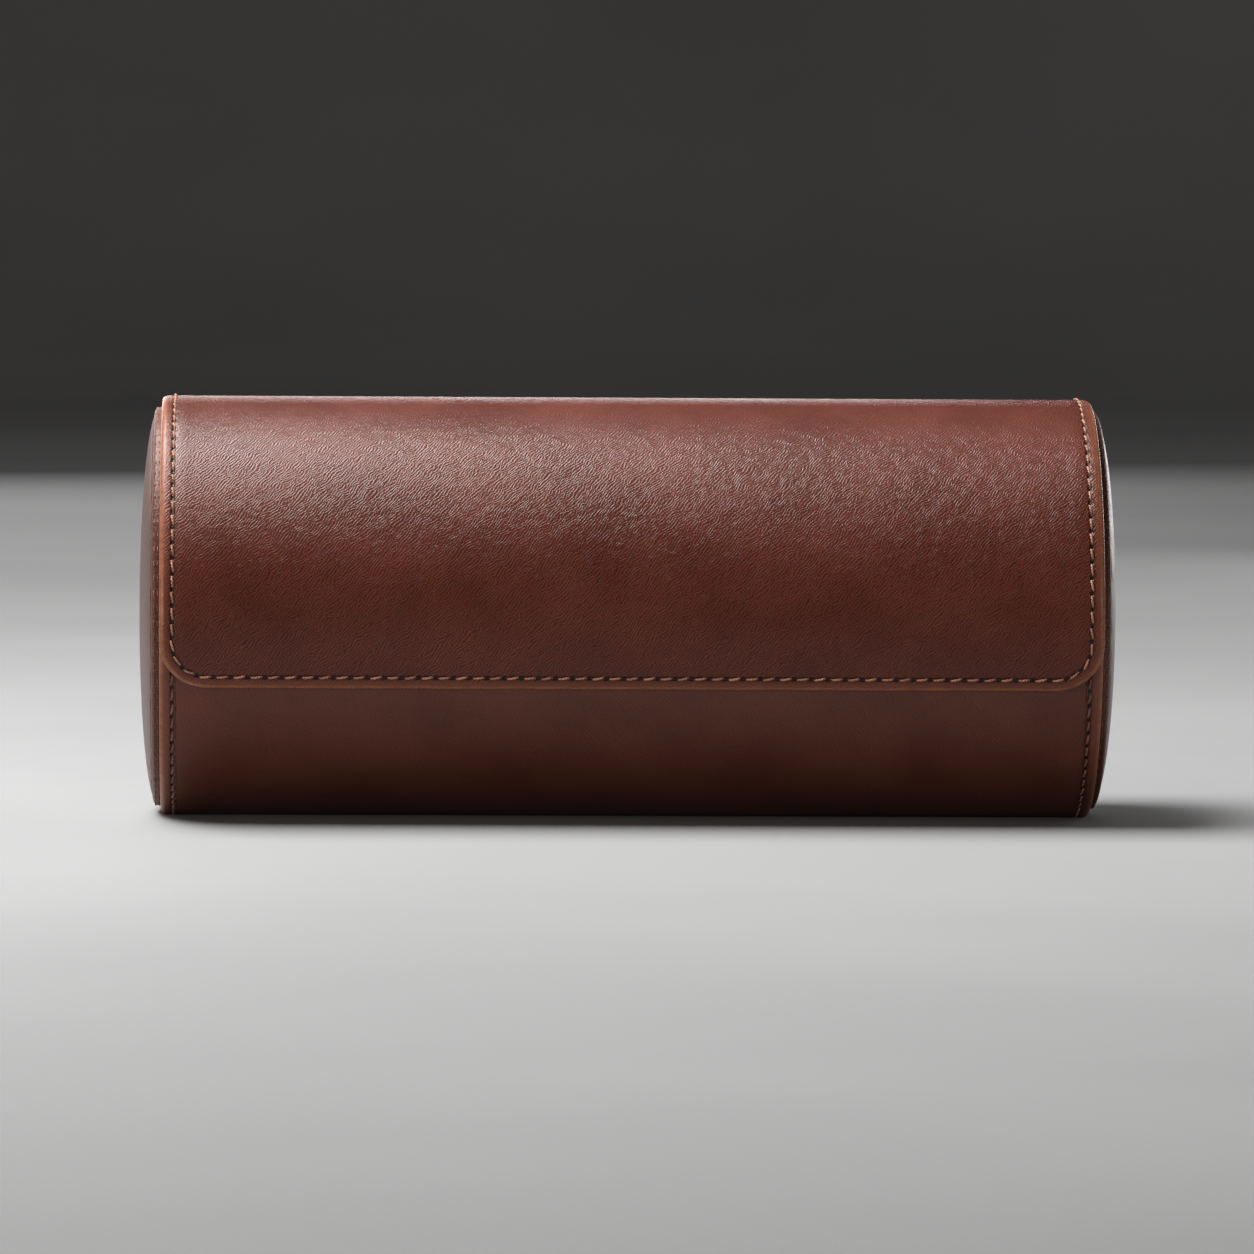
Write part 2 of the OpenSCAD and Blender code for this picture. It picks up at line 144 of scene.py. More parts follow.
def tube_faces(rows, steps, first=0, closed=False):
    """Faces between neighbouring rings of points. A closed tube's last ring meets its first."""
    faces = []
    for j in range(rows if closed else rows - 1):
        here, there = first + j * steps, first + (j + 1) % rows * steps
        for k in range(steps):
            after = (k + 1) % steps
            faces.append((here + k, here + after, there + after, there + k))
    return faces


def finer(route, parts):
    """Divides each stretch of a route of point pairs into equal parts."""
    found = []
    for (a0, b0), (a1, b1) in zip(route, route[1:]):
        found += [(a0 + (a1 - a0) * k / parts, b0 + (b1 - b0) * k / parts) for k in range(parts)]
    return found + [route[-1]]


def crossed(rows, columns):
    """All pairs of a row value and a column value, as two flat arrays."""
    return [v.ravel() for v in np.meshgrid(rows, columns, indexing="ij")]


def linked(name, data):
    """Puts a new object in the scene."""
    obj = bpy.data.objects.new(name, data)
    bpy.context.scene.collection.objects.link(obj)
    return obj


def make_piece(name, points, faces, material, attributes=None):
    """A closed mesh object from points in millimetres, with its faces turned outwards."""
    mesh = bpy.data.meshes.new(name)
    mesh.from_pydata((np.asarray(points, float) * MM).tolist(), [], faces)
    for key, values in (attributes or {}).items():
        layer = mesh.attributes.new(key, "FLOAT_VECTOR", "POINT")
        layer.data.foreach_set("vector", np.asarray(values, np.float32).ravel())
    mesh.materials.append(material)
    mesh.validate()
    shell = bmesh.new()
    shell.from_mesh(mesh)
    bmesh.ops.recalc_face_normals(shell, faces=shell.faces)
    if shell.calc_volume(signed=True) < 0:
        bmesh.ops.reverse_faces(shell, faces=shell.faces)
    shell.to_mesh(mesh)
    shell.free()
    mesh.polygons.foreach_set("use_smooth", [True] * len(mesh.polygons))
    return linked(name, mesh)


def settle(obj, body, slot, *nodes):
    """The piece rides on this body and stands for these CAD nodes, which are hidden. The slot is not used.
    """
    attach(obj, body)
    if nodes:
        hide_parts(*nodes)


# Materials

def new_material(name):
    material = bpy.data.materials.new(name)
    material.use_nodes = True
    return material, material.node_tree, material.node_tree.nodes["Principled BSDF"]


def add(tree, kind, inputs=None, **settings):
    """Adds a shader node. Inputs are values or sockets, by name or number."""
    made = tree.nodes.new("ShaderNode" + kind)
    for key, value in settings.items():
        setattr(made, key, value)
    for key, value in (inputs or {}).items():
        if isinstance(value, bpy.types.NodeSocket):
            tree.links.new(value, made.inputs[key])
        else:
            made.inputs[key].default_value = value
    return made


def calc(tree, operation, a, b=0.0, c=0.0):
    return add(tree, "Math", {0: a, 1: b, 2: c}, operation=operation).outputs[0]


def vector_calc(tree, operation, a, b):
    return add(tree, "VectorMath", {0: a, 1: b}, operation=operation).outputs[0]


def ramp(tree, value, low, high, to_low=0.0, to_high=1.0):
    """Maps a value smoothly from one range to another."""
    made = add(tree, "MapRange", {"Value": value, "From Min": low, "From Max": high, "To Min": to_low,
                                  "To Max": to_high}, interpolation_type="SMOOTHSTEP")
    return made.outputs["Result"]


def blend_colours(tree, factor, a, b, kind="MIX"):
    made = add(tree, "Mix", {"Factor": factor}, data_type="RGBA", blend_type=kind)
    for socket, value in ((made.inputs[6], a), (made.inputs[7], b)):
        if isinstance(value, bpy.types.NodeSocket):
            tree.links.new(value, socket)
        else:
            socket.default_value = (*value, 1)
    return made.outputs[2]


def mixed(tree, factor, a, b):
    return add(tree, "Mix", {"Factor": factor, 2: a, 3: b}).outputs[0]


def grey(tree, value):
    return add(tree, "CombineColor", {0: value, 1: value, 2: value}).outputs[0]


def shaded(tree, colour, value):
    """Multiplies a colour by a value."""
    return blend_colours(tree, 1.0, colour, grey(tree, value), "MULTIPLY")


def tinted(colour, factor):
    return tuple(factor * c for c in colour)


def connect(tree, shader, base, rough, height, strength, depth):
    """Gives the shader its colour, its roughness and a bump of this depth in metres."""
    tree.links.new(base, shader.inputs["Base Color"])
    tree.links.new(rough, shader.inputs["Roughness"])
    bump = add(tree, "Bump", {"Height": height, "Strength": strength, "Distance": depth})
    tree.links.new(bump.outputs["Normal"], shader.inputs["Normal"])


def cloud(tree, vector, scale, detail=2.0, roughness=0.5, distortion=0.0):
    made = add(tree, "TexNoise", {"Vector": vector, "Scale": scale, "Detail": detail,
                                  "Roughness": roughness, "Distortion": distortion})
    return made.outputs["Fac"]


def attribute(tree, name):
    return add(tree, "Attribute", attribute_name=name).outputs["Vector"]


def scaled(tree, vector, scale):
    return add(tree, "Mapping", {"Vector": vector, "Scale": scale}).outputs["Vector"]


def turned(tree, vector, degrees):
    made = add(tree, "Mapping", {"Vector": vector, "Rotation": (0, 0, radians(degrees))})
    return made.outputs["Vector"]


def warped(tree, vector, scale, amount):
    """Moves a texture's places about, so that its lines curve."""
    shift = add(tree, "TexNoise", {"Vector": vector, "Scale": scale, "Detail": 1.0}).outputs["Color"]
    centred = vector_calc(tree, "SUBTRACT", shift, (0.5, 0.5, 0.5))
    moved = add(tree, "VectorMath", {0: centred, "Scale": amount}, operation="SCALE").outputs[0]
    return vector_calc(tree, "ADD", vector, moved)


WRINKLE_CM = 0.058
WRINKLE_DEGREES = (-44, -62, -30, -54, -37)


def leather_grain(tree, place):
    """Height of the leather's fine curved wrinkles, over places in centimetres. They are short
    parallel lines about 0.6 mm apart, in patches, most of them rising to the right."""
    curved = warped(tree, warped(tree, place, 3.2, 0.12), 7.0, 0.035)
    wander = calc(tree, "MULTIPLY", cloud(tree, place, 11.0, 1.0), 4.0)
    lines = None
    for number, degrees in enumerate(WRINKLE_DEGREES):
        lain = turned(tree, curved, degrees)
        across = add(tree, "SeparateXYZ", {0: lain}).outputs[0]
        wave_line = calc(tree, "SINE", calc(tree, "MULTIPLY_ADD", across, TURN / WRINKLE_CM, wander))
        breaks = cloud(tree, scaled(tree, lain, (18.0, 7.0, 1.0)), 1.0, 2.0, 0.6)
        broken = calc(tree, "MULTIPLY", wave_line, ramp(tree, breaks, 0.28, 0.52))
        layer = calc(tree, "MULTIPLY_ADD", broken, 0.5, 0.5)
        if lines is None:
            lines = layer
            continue
        elsewhere = vector_calc(tree, "ADD", place, (number * 3.7, 0, number * 2.1))
        patch = ramp(tree, cloud(tree, elsewhere, 4.5, 2.0), 0.48, 0.56)
        lines = mixed(tree, patch, lines, layer)
    pores = cloud(tree, place, 24.0, 2.0, 0.6)
    return calc(tree, "MULTIPLY_ADD", lines, 0.7, calc(tree, "MULTIPLY", pores, 0.3))


def stitch_marks(tree, seam, base, height, dark):
    """Each stitch goes into a slanted hole, raised around it; painted shade colours the hole near
    black. Painted shade also darkens the stitch line's groove between the holes."""
    step = calc(tree, "SUBTRACT", calc(tree, "FRACT", calc(tree, "ADD", seam[0], 0.5)), 0.5)
    off = calc(tree, "SUBTRACT", seam[1], STITCH_INSET)
    slant = calc(tree, "MULTIPLY_ADD", off, -0.12, step)
    along = calc(tree, "POWER", calc(tree, "MULTIPLY", slant, 5.6), 2.0)
    across = calc(tree, "POWER", calc(tree, "MULTIPLY", off, 2.4), 2.0)
    hole = calc(tree, "SQRT", calc(tree, "ADD", along, across))
    inside = ramp(tree, hole, 0.6, 1.2, 1.0, 0.0)
    # Painted shade along the groove of the stitch line
    line = ramp(tree, calc(tree, "ABSOLUTE", off), 0.1, 0.75, 0.45, 0.0)
    base = blend_colours(tree, line, base, tinted(dark, 0.25))
    # Painted shade: the hole is coloured near black, as its depth would be in shadow
    base = blend_colours(tree, inside, base, HOLE_PAINTED_SHADE)
    rim = calc(tree, "MULTIPLY", ramp(tree, hole, 0.8, 1.4), ramp(tree, hole, 1.5, 2.6, 1.0, 0.0))
    pressed = calc(tree, "MULTIPLY_ADD", inside, -2.0, calc(tree, "MULTIPLY", rim, 0.5))
    return base, calc(tree, "ADD", height, pressed)


def leather_material(name, dark, light, roughness, grain, tan_width, stitched=True):
    """Grained leather. The attribute flat holds places in centimetres, and the attribute seam holds
    the place along the stitch line in stitches, the distance inside the edge in millimetres, and
    whether the leather has a painted edge."""
    material, tree, shader = new_material(name)
    place = attribute(tree, "flat")
    seam = add(tree, "SeparateXYZ", {0: attribute(tree, "seam")}).outputs
    raised = leather_grain(tree, place)
    broad = ramp(tree, cloud(tree, place, 0.45, 3.0, 0.6), 0.25, 0.75)
    base = blend_colours(tree, broad, dark, light)
    # Partly the grain's own tone, partly painted light: the colour is darker in the wrinkles' valleys as
    # painted shade and lighter on their ridges as painted highlight
    wrinkle_light_and_shade = mixed(tree, min(1.0, grain), 1.0, ramp(tree, raised, 0.15, 0.85, 0.46, 1.56))
    base = shaded(tree, base, wrinkle_light_and_shade)
    # The margin outside the stitch line is rubbed lighter, and the edge is painted tan
    wobble = calc(tree, "MULTIPLY_ADD", cloud(tree, place, 3.0, 2.0), 0.5, -0.25)
    inside = calc(tree, "ADD", seam[1], wobble)
    rubbed = calc(tree, "MULTIPLY", ramp(tree, inside, 1.2, 2.4, 0.45, 0.0), seam[2])
    painted = calc(tree, "MULTIPLY", ramp(tree, inside, tan_width * 0.6, tan_width * 1.5, 1.0, 0.0), seam[2])
    base = blend_colours(tree, rubbed, base, tuple(0.5 * (a + b) for a, b in zip(light, EDGE_TAN)))
    streaks = ramp(tree, cloud(tree, scaled(tree, place, (2.0, 9.0, 1.0)), 1.0, 2.0), 0.3, 0.7)
    base = blend_colours(tree, painted, base, blend_colours(tree, streaks, tinted(EDGE_TAN, 0.72), EDGE_TAN))
    smoothed = calc(tree, "MULTIPLY", painted, 0.9 * grain)
    height = calc(tree, "MULTIPLY", raised, calc(tree, "SUBTRACT", grain, smoothed))
    if stitched:
        base, height = stitch_marks(tree, seam, base, height, dark)
    # The wrinkles' valleys shine less than the leather between them
    rough = calc(tree, "MULTIPLY_ADD", raised, -0.30 * grain, roughness + 0.15 * grain)
    rough = calc(tree, "ADD", rough, calc(tree, "MULTIPLY", broad, 0.06))
    rough = calc(tree, "ADD", rough, calc(tree, "MULTIPLY", painted, -0.04))
    connect(tree, shader, base, rough, height, 1.0, 0.00007)
    shader.inputs["Specular IOR Level"].default_value = 0.32
    shader.inputs["Specular Tint"].default_value = (1.0, 0.90, 0.87, 1.0)
    return material


def suede_material(name, colour, scale=1.0):
    """Short-napped suede, with brushed patches."""
    material, tree, shader = new_material(name)
    place = add(tree, "TexCoord").outputs["Object"]
    brushed = ramp(tree, cloud(tree, place, 55.0 * scale, 3.0, 0.6, 0.6), 0.35, 0.65)
    fibres = cloud(tree, warped(tree, place, 130.0, 0.006), 1500.0 * scale, 3.0, 0.7)
    nap = blend_colours(tree, brushed, tinted(colour, 0.74), tinted(colour, 1.18))
    base = shaded(tree, nap, ramp(tree, fibres, 0.3, 0.7, 0.7, 1.15))
    rough = ramp(tree, fibres, 0.2, 0.8, 0.98, 0.86)
    connect(tree, shader, base, rough, calc(tree, "MULTIPLY_ADD", brushed, 0.3, fibres), 0.8, 0.00012)
    shader.inputs["Sheen Weight"].default_value = 0.25
    shader.inputs["Sheen Roughness"].default_value = 0.5
    shader.inputs["Sheen Tint"].default_value = (*(min(1, c) for c in tinted(colour, 2.2)), 1)
    shader.inputs["Specular IOR Level"].default_value = 0.2
    return material


def thread_material(name, colour):
    """Waxed twisted thread. The attribute flat holds places along and around the thread, and the
    number of the stitch, which changes its tone."""
    material, tree, shader = new_material(name)
    place = attribute(tree, "flat")
    along, around, number = add(tree, "SeparateXYZ", {0: place}).outputs
    twist = calc(tree, "SINE", calc(tree, "MULTIPLY_ADD", along, 9.0, calc(tree, "MULTIPLY", around, 2.0)))
    fuzz = cloud(tree, scaled(tree, place, (6.0, 2.0, 1.0)), 1.0, 2.0)
    tone = calc(tree, "FRACT", calc(tree, "MULTIPLY", number, 0.618))
    base = blend_colours(tree, tone, tinted(colour, 0.7), tinted(colour, 1.2))
    base = shaded(tree, base, ramp(tree, calc(tree, "ADD", twist, fuzz), -0.6, 1.4, 0.55, 1.1))
    connect(tree, shader, base, ramp(tree, fuzz, 0.3, 0.7, 0.42, 0.6), twist, 0.7, 0.00008)
    return material


def board_material(name, colour):
    """Pressed fibre board, with flecks and a layered look."""
    material, tree, shader = new_material(name)
    place = add(tree, "TexCoord").outputs["Object"]
    flecks = cloud(tree, scaled(tree, place, (400, 900, 900)), 1.0, 3.0, 0.7)
    layers = add(tree, "TexWave", {"Vector": place, "Scale": 260.0, "Distortion": 3.0}).outputs["Fac"]
    base = blend_colours(tree, ramp(tree, flecks, 0.3, 0.7), tinted(colour, 0.7), colour)
    base = blend_colours(tree, calc(tree, "MULTIPLY", layers, 0.25), base, tinted(colour, 0.6))
    connect(tree, shader, base, ramp(tree, flecks, 0.2, 0.8, 0.95, 0.8), flecks, 0.5, 0.0001)
    return material


def steel_material(name, colour):
    """Brushed steel with fine parallel scratches."""
    material, tree, shader = new_material(name)
    place = add(tree, "TexCoord").outputs["Object"]
    brushed = cloud(tree, scaled(tree, place, (120, 4000, 4000)), 1.0, 3.0, 0.7)
    spots = cloud(tree, place, 700.0, 3.0, 0.6)
    base = blend_colours(tree, ramp(tree, spots, 0.35, 0.7), tinted(colour, 0.8), colour)
    connect(tree, shader, base, ramp(tree, brushed, 0.3, 0.7, 0.28, 0.46), brushed, 0.25, 0.00003)
    shader.inputs["Metallic"].default_value = 1.0
    return material


LEATHER_DARK = (0.070, 0.0130, 0.0065)
LEATHER_LIGHT = (0.098, 0.020, 0.0105)
# The lower front is the same leather as the flap, with less grain. Its lighter colours are partly painted
# fill light, as the lamps reach the lower front less
BODY_DARK = (0.085, 0.024, 0.016)
BODY_LIGHT = (0.115, 0.035, 0.023)
END_DARK = (0.085, 0.045, 0.036)
END_LIGHT = (0.125, 0.068, 0.055)
BAND_DARK = (0.080, 0.024, 0.015)
BAND_LIGHT = (0.115, 0.038, 0.023)
EDGE_TAN = (0.285, 0.102, 0.051)
# Painted shade for the inside of the stitch holes
HOLE_PAINTED_SHADE = (0.004, 0.002, 0.0015)

flap_leather = leather_material("flap_leather", LEATHER_DARK, LEATHER_LIGHT, 0.33, 1.0, 0.8)
# Lighter base colours than the flap's: painted fill light for the lower front
body_leather = leather_material("body_leather", BODY_DARK, BODY_LIGHT, 0.38, 0.35, 0.7)
end_leather = leather_material("end_leather", END_DARK, END_LIGHT, 0.36, 0.5, 0.1, stitched=False)
band_leather = leather_material("band_leather", BAND_DARK, BAND_LIGHT, 0.42, 0.6, 0.1, stitched=False)
thread = thread_material("waxed_thread", (0.45, 0.20, 0.115))
# A darker copy of the same waxed thread: painted shade for the stitches that lie in shadow, on the lower
# front under the flap and at the ends' rims and seams
painted_shade_thread = thread_material("painted_shade_thread", (0.22, 0.095, 0.058))
suede = suede_material("lining_suede", (0.215, 0.150, 0.105))
pillow_suede = suede_material("pillow_suede", (0.24, 0.168, 0.118), 0.9)
fibre_board = board_material("fibre_board", (0.30, 0.27, 0.23))
steel = steel_material("plate_steel", (0.55, 0.55, 0.56))


# Leather sheets

class Sheet:
    """A flat leather sheet laid out from a seam at s = 0 to its front edge at s = length, with two
    rounded corners. Around its sides and front it is built in loops that follow the edge."""

    # Closest together over the rounded edge and around the stitch line
    insets = [0, 0.04, 0.12, 0.24, 0.4, 0.58, 0.78, 1.0, 1.2, 1.45, 1.75, 2.0, 2.2, 2.35, 2.5, 2.65, 2.8,
              3.0, 3.3, 3.8, 4.6, 5.6, 6.6, 7.8]

    def __init__(self, length, half, corner, step, fine_rows=(), insets=None):
        self.length, self.half, self.corner = length, half, corner
        self.run, self.front = length - corner, 2 * (half - corner)
        self.turn = (corner - STITCH_INSET) * QUARTER
        loops = [e for e in (insets or self.insets) if e < corner - 0.3]
        rows = spaced(0, length - corner, step, fine_rows)
        columns = spaced(-(half - corner), half - corner, step)
        line_r = corner - STITCH_INSET
        arc_steps = max(4, round(QUARTER * corner / step))
        places = [(s, x) for s in rows for x in columns]
        inset = [min(half - abs(x), length - s) for s, x in places]
        along = [0.0] * len(places)
        wide = len(columns)
        last = len(rows) - 1
        samples = [(j * wide, (0, -1), s) for j, s in enumerate(rows)]
        start = length - corner
        for k in range(1, arc_steps):
            a = QUARTER * k / arc_steps
            samples.append((last * wide, (sin(a), -cos(a)), start + line_r * a))
        start += line_r * QUARTER
        samples += [(last * wide + i, (1, 0), start + x + half - corner) for i, x in enumerate(columns)]
        start += 2 * (half - corner)
        for k in range(1, arc_steps):
            a = QUARTER * k / arc_steps
            samples.append((last * wide + wide - 1, (cos(a), sin(a)), start + line_r * a))
        start += line_r * QUARTER
        for j in range(last, -1, -1):
            samples.append((j * wide + wide - 1, (0, 1), start + length - corner - rows[j]))
        faces = [(j * wide + i, (j + 1) * wide + i, (j + 1) * wide + i + 1, j * wide + i + 1)
                 for j in range(last) for i in range(wide - 1)]
        band = []
        for anchor, (ns, nx), path in samples:
            s, x = places[anchor]
            ids = []
            for e in loops:
                ids.append(len(places))
                places.append((s + ns * (corner - e), x + nx * (corner - e)))
                inset.append(e)
                along.append(path)
            band.append(ids + [anchor])
        for one, two in zip(band, band[1:]):
            for m in range(len(loops)):
                face = [one[m], one[m + 1], two[m + 1], two[m]]
                faces.append(tuple(dict.fromkeys(face)))
        self.outer_edge = [ids[0] for ids in band]
        self.seam_edge = band[0] + list(range(1, wide)) + band[-1][-2::-1]
        self.s, self.x = np.array(places).T
        self.inset, self.along, self.faces = np.array(inset), np.array(along), faces

    def outline(self):
        """The ids around the whole sheet, once."""
        return self.outer_edge + self.seam_edge[-2:0:-1]

    def stitch_number(self):
        """Knots of the stitch line's length and of the stitches counted along it. The stitches are
        closer together along the sides than along the front edge."""
        run, turn, front = self.run, self.turn, self.front
        side_count = round((run + turn / 2) / SIDE_PITCH)
        front_count = round((front + turn) / EDGE_PITCH)
        lengths = np.cumsum([0, run + turn / 2, front + turn, run + turn / 2])
        return lengths, np.cumsum([0, side_count, front_count, side_count])

    def stitch_places(self):
        """Where the middles of the stitches lie along the edge, with the direction of each."""
        run, turn, front = self.run, self.turn, self.front
        radius = self.corner - STITCH_INSET
        lengths, numbers = self.stitch_number()
        found = []
        for u in np.interp(np.arange(numbers[-1]) + 0.5, numbers, lengths):
            if u < run:
                found.append((u, STITCH_INSET - self.half, 1, 0))
            elif u < run + turn:
                a = (u - run) / radius
                found.append((run + radius * sin(a), self.corner - self.half - radius * cos(a),
                              cos(a), sin(a)))
            elif u < run + turn + front:
                found.append((self.length - STITCH_INSET, u - run - turn - front / 2, 0, 1))
            elif u < run + 2 * turn + front:
                a = (u - run - turn - front) / radius
                found.append((run + radius * cos(a), self.half - self.corner + radius * sin(a),
                              -sin(a), cos(a)))
            else:
                found.append((lengths[-1] - u, self.half - STITCH_INSET, -1, 0))
        return np.array(found)


def edge_drop(inset, width, drop):
    """How far a rounded edge falls below the sheet's face, at a distance inside the edge."""
    share = np.clip(1 - inset / width, 0, 1)
    return -drop * (1 - np.sqrt(np.clip(1 - share * share, 0, 1)))


def seam_faces(sheet, twin):
    """Closes a sheet's straight end between its top and its underside."""
    faces = []
    for a, b in zip(sheet.seam_edge, sheet.seam_edge[1:]):
        faces.append(tuple(dict.fromkeys((a, b, int(twin[b]), int(twin[a])))))
    return faces


TOP_EDGE_ROUND = 1.35
TOP_EDGE_DROP = 0.95
UNDER_EDGE_ROUND = 0.7
GROOVE_DEPTH = 0.16
GROOVE_WIDTH = 0.5
SWELL_HEIGHT = 0.05
SWELL_INSET = 1.9 * STITCH_INSET
SWELL_WIDTH = 1.1


def leather_sheet(name, sheet, place, thickness, material):
    """Turns a laid-out sheet into a closed leather skin with rounded painted edges. The stitches
    draw it into a groove, and it swells a little inside them."""
    face_up = edge_drop(sheet.inset, TOP_EDGE_ROUND, TOP_EDGE_DROP)
    face_up -= GROOVE_DEPTH * np.exp(-((sheet.inset - STITCH_INSET) / GROOVE_WIDTH) ** 2)
    face_up += SWELL_HEIGHT * np.exp(-((sheet.inset - SWELL_INSET) / SWELL_WIDTH) ** 2)
    face_down = -thickness - edge_drop(sheet.inset, UNDER_EDGE_ROUND, thickness - TOP_EDGE_DROP)
    shared = sheet.inset < 1e-6
    count = len(sheet.s)
    twin = np.arange(count)
    twin[~shared] = count + np.arange((~shared).sum())
    top = place(sheet.s, sheet.x, face_up)
    under = place(sheet.s, sheet.x, face_down)[~shared]
    faces = list(sheet.faces) + [tuple(int(twin[v]) for v in reversed(f)) for f in sheet.faces]
    faces += seam_faces(sheet, twin)
    flat = joined(sheet.x / 10, sheet.s / 10, 0 * sheet.s)
    lengths, numbers = sheet.stitch_number()
    seam = joined(np.interp(sheet.along, lengths, numbers), sheet.inset, 1 + 0 * sheet.s)
    # The underside takes its grain from another part of the hide
    attributes = {"flat": np.concatenate([flat, flat[~shared] + (7.0, 3.0, 0)]),
                  "seam": np.concatenate([seam, seam[~shared]])}
    return make_piece(name, np.concatenate([top, under]), faces, material, attributes)


FOLD_S = radians(270 - HINGE) * ROLL_R
FOLD_STITCHES = 5.0
FLAP_LENGTH = radians(HINGE + FLAP_REACH) * FLAP_R
BACK_LENGTH = FOLD_S + FLAP_LENGTH + ROUNDED_EDGE_EASE
FRONT_LENGTH = radians(90 + LIP) * ROLL_R


def above_floor(points):
    """The wrap is pressed flat where the roll rests."""
    points[:, 2] = np.maximum(points[:, 2], 0)
    return points


def back_place(s, x, height):
    """From the bottom up the back, over the fold and the top, down to the flap's tip."""
    wrap = on_circle(AXIS, ROLL_R + height, 270 - np.degrees(s / ROLL_R), x)
    flap = on_circle(FLAP_AXIS, FLAP_R + height, HINGE - np.degrees((s - FOLD_S) / FLAP_R), x)
    return above_floor(np.where((s <= FOLD_S)[:, None], wrap, flap))


def front_place(s, x, height):
    """From the bottom up the front, to the case's lip under the flap."""
    return above_floor(on_circle(AXIS, ROLL_R + height, 270 + np.degrees(s / ROLL_R), x))


def fold_bend(obj):
    """Bakes the piece's placement into its mesh; the piece is not bent over the fold here."""
    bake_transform(obj)
    return obj


# Stitches

STITCH_DIVE = 0.5
STITCH_SLANT = 9.0


def stitches(name, places, lay, half_len=1.35, radius=0.25, lift=0.16, yarn=thread):
    """One mesh of separate slanted stitches. Each place is (s, x, ds, dx), and lay puts flat places
    and heights on the leather."""
    rings, sides = 9, 8
    points, marks, faces = [], [], []
    cos_slant, sin_slant = cos(radians(STITCH_SLANT)), sin(radians(STITCH_SLANT))
    for number, (s, x, ds, dx) in enumerate(places):
        turn = 0.06 * sin(number * 2.4)
        c = cos_slant - turn * sin_slant
        d = sin_slant + turn * cos_slant
        es, ex = ds * c - dx * d, dx * c + ds * d
        first = len(points)
        for i in range(rings):
            q = 2 * i / (rings - 1) - 1
            height = lift + radius * 0.2 - (STITCH_DIVE + lift) * abs(q) ** 3.2
            thick = radius * (1 - 0.35 * abs(q) ** 3)
            for k in range(sides):
                a = TURN * k / sides
                off, up = thick * cos(a), 0.85 * thick * sin(a)
                far = q * half_len
                points.append((s + es * far - ex * off, x + ex * far + es * off, height + up))
                marks.append((far, a, number + 0.37))
        faces += tube_faces(rings, sides, first)
        faces.append(tuple(first + k for k in reversed(range(sides))))
        faces.append(tuple(first + (rings - 1) * sides + k for k in range(sides)))
    flat = np.array(points)
    return make_piece(name, lay(flat[:, 0], flat[:, 1], flat[:, 2]), faces, yarn, {"flat": marks})


# The wrap and the flap

def build_wrap():
    back = Sheet(BACK_LENGTH, WRAP_END, CORNER_R, 1.25, fine_rows=(FOLD_S,))
    spots = back.stitch_places()
    skin = leather_sheet("wrap_and_flap", back, back_place, FLAP_THICK, flap_leather)
    fold_bend(skin)
    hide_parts("flap_leather")
    front = Sheet(FRONT_LENGTH, WRAP_END, 3.6, 1.2)
    front_spots = front.stitch_places()
    lower = leather_sheet("wrap_front", front, front_place, WRAP_THICK - 0.05, body_leather)
    settle(lower, "case", "wrap_leather", "body_wrap")
    past_fold = spots[:, 0] - FOLD_S
    flap_row = stitches("flap_stitches", spots[past_fold > FOLD_STITCHES], back_place)
    settle(flap_row, "flap", "thread", "flap_thread")
    back_row = stitches("wrap_back_stitches", spots[past_fold < -FOLD_STITCHES], back_place)
    settle(back_row, "case", "thread")
    fold_row = fold_bend(stitches("fold_stitches", spots[np.abs(past_fold) <= FOLD_STITCHES], back_place))
    # The lower front's stitches take the thread with painted shade
    front_row = stitches("wrap_front_stitches", front_spots, front_place, yarn=painted_shade_thread)
    settle(front_row, "case", "thread", "wrap_thread")


# The ends

ROUND_STEPS = 240


def lathe(name, outline, side, material, closed=False, ripple=None):
    """A round piece from an outline of (radius, distance along the roll) points. Where the outline
    isn't a closed loop, its two ends are capped."""
    steps = ROUND_STEPS
    outline = np.array(outline, float)
    angles = np.linspace(0, 360, steps, endpoint=False)
    walked = np.concatenate([[0], np.cumsum(np.hypot(*np.diff(outline, axis=0).T))])
    points, flat, seam = [], [], []
    for (radius, out), far in zip(outline, walked):
        extra = ripple(radius, angles) if ripple else 0 * angles
        points.append(on_circle(AXIS, radius, angles, side * (out + extra)))
        turn = np.radians(angles)
        flat.append(joined(radius * np.cos(turn), radius * np.sin(turn), 0 * turn + out) / 10)
        seam.append(joined(angles / 360, 0 * turn + FAR_INSIDE + far, 0 * turn))
    rows = len(outline)
    faces = tube_faces(rows, steps, closed=closed)
    if not closed:
        faces += [tuple(range(steps)), tuple(range((rows - 1) * steps, rows * steps))]
    return make_piece(name, np.concatenate(points), faces, material,
                      {"flat": np.concatenate(flat), "seam": np.concatenate(seam)})


def dome_height(share):
    """The dome's height at a share of its radius, from 1 in the middle to 0 at its edge."""
    edge = sqrt(1 - DOME_FULLNESS ** 2)
    return (sqrt(1 - (DOME_FULLNESS * share) ** 2) - edge) / (1 - edge)


def ring_lay(radius, out, tilt, side):
    """Lays flat places on a ring around the roll. The tilt turns the ring's face outwards."""
    face = np.array([cos(tilt), sin(tilt)])

    def lay(s, x, height):
        r = radius + face[0] * height - face[1] * x
        along = out + face[1] * height + face[0] * x
        return on_circle(AXIS, r, np.degrees(s / radius), side * along)

    return lay


def ring_places(radius):
    """Flat places of the stitches around a ring."""
    count = round(TURN * radius / RIM_PITCH)
    return [((k + 0.5) * TURN * radius / count, 0, 1, 0) for k in range(count)]


PANEL_DEPTH = 0.8
PANEL_GROOVE = 0.22
PUCKER_HEIGHT = 0.12
PUCKER_REACH = 2.2
PUCKERS = 14


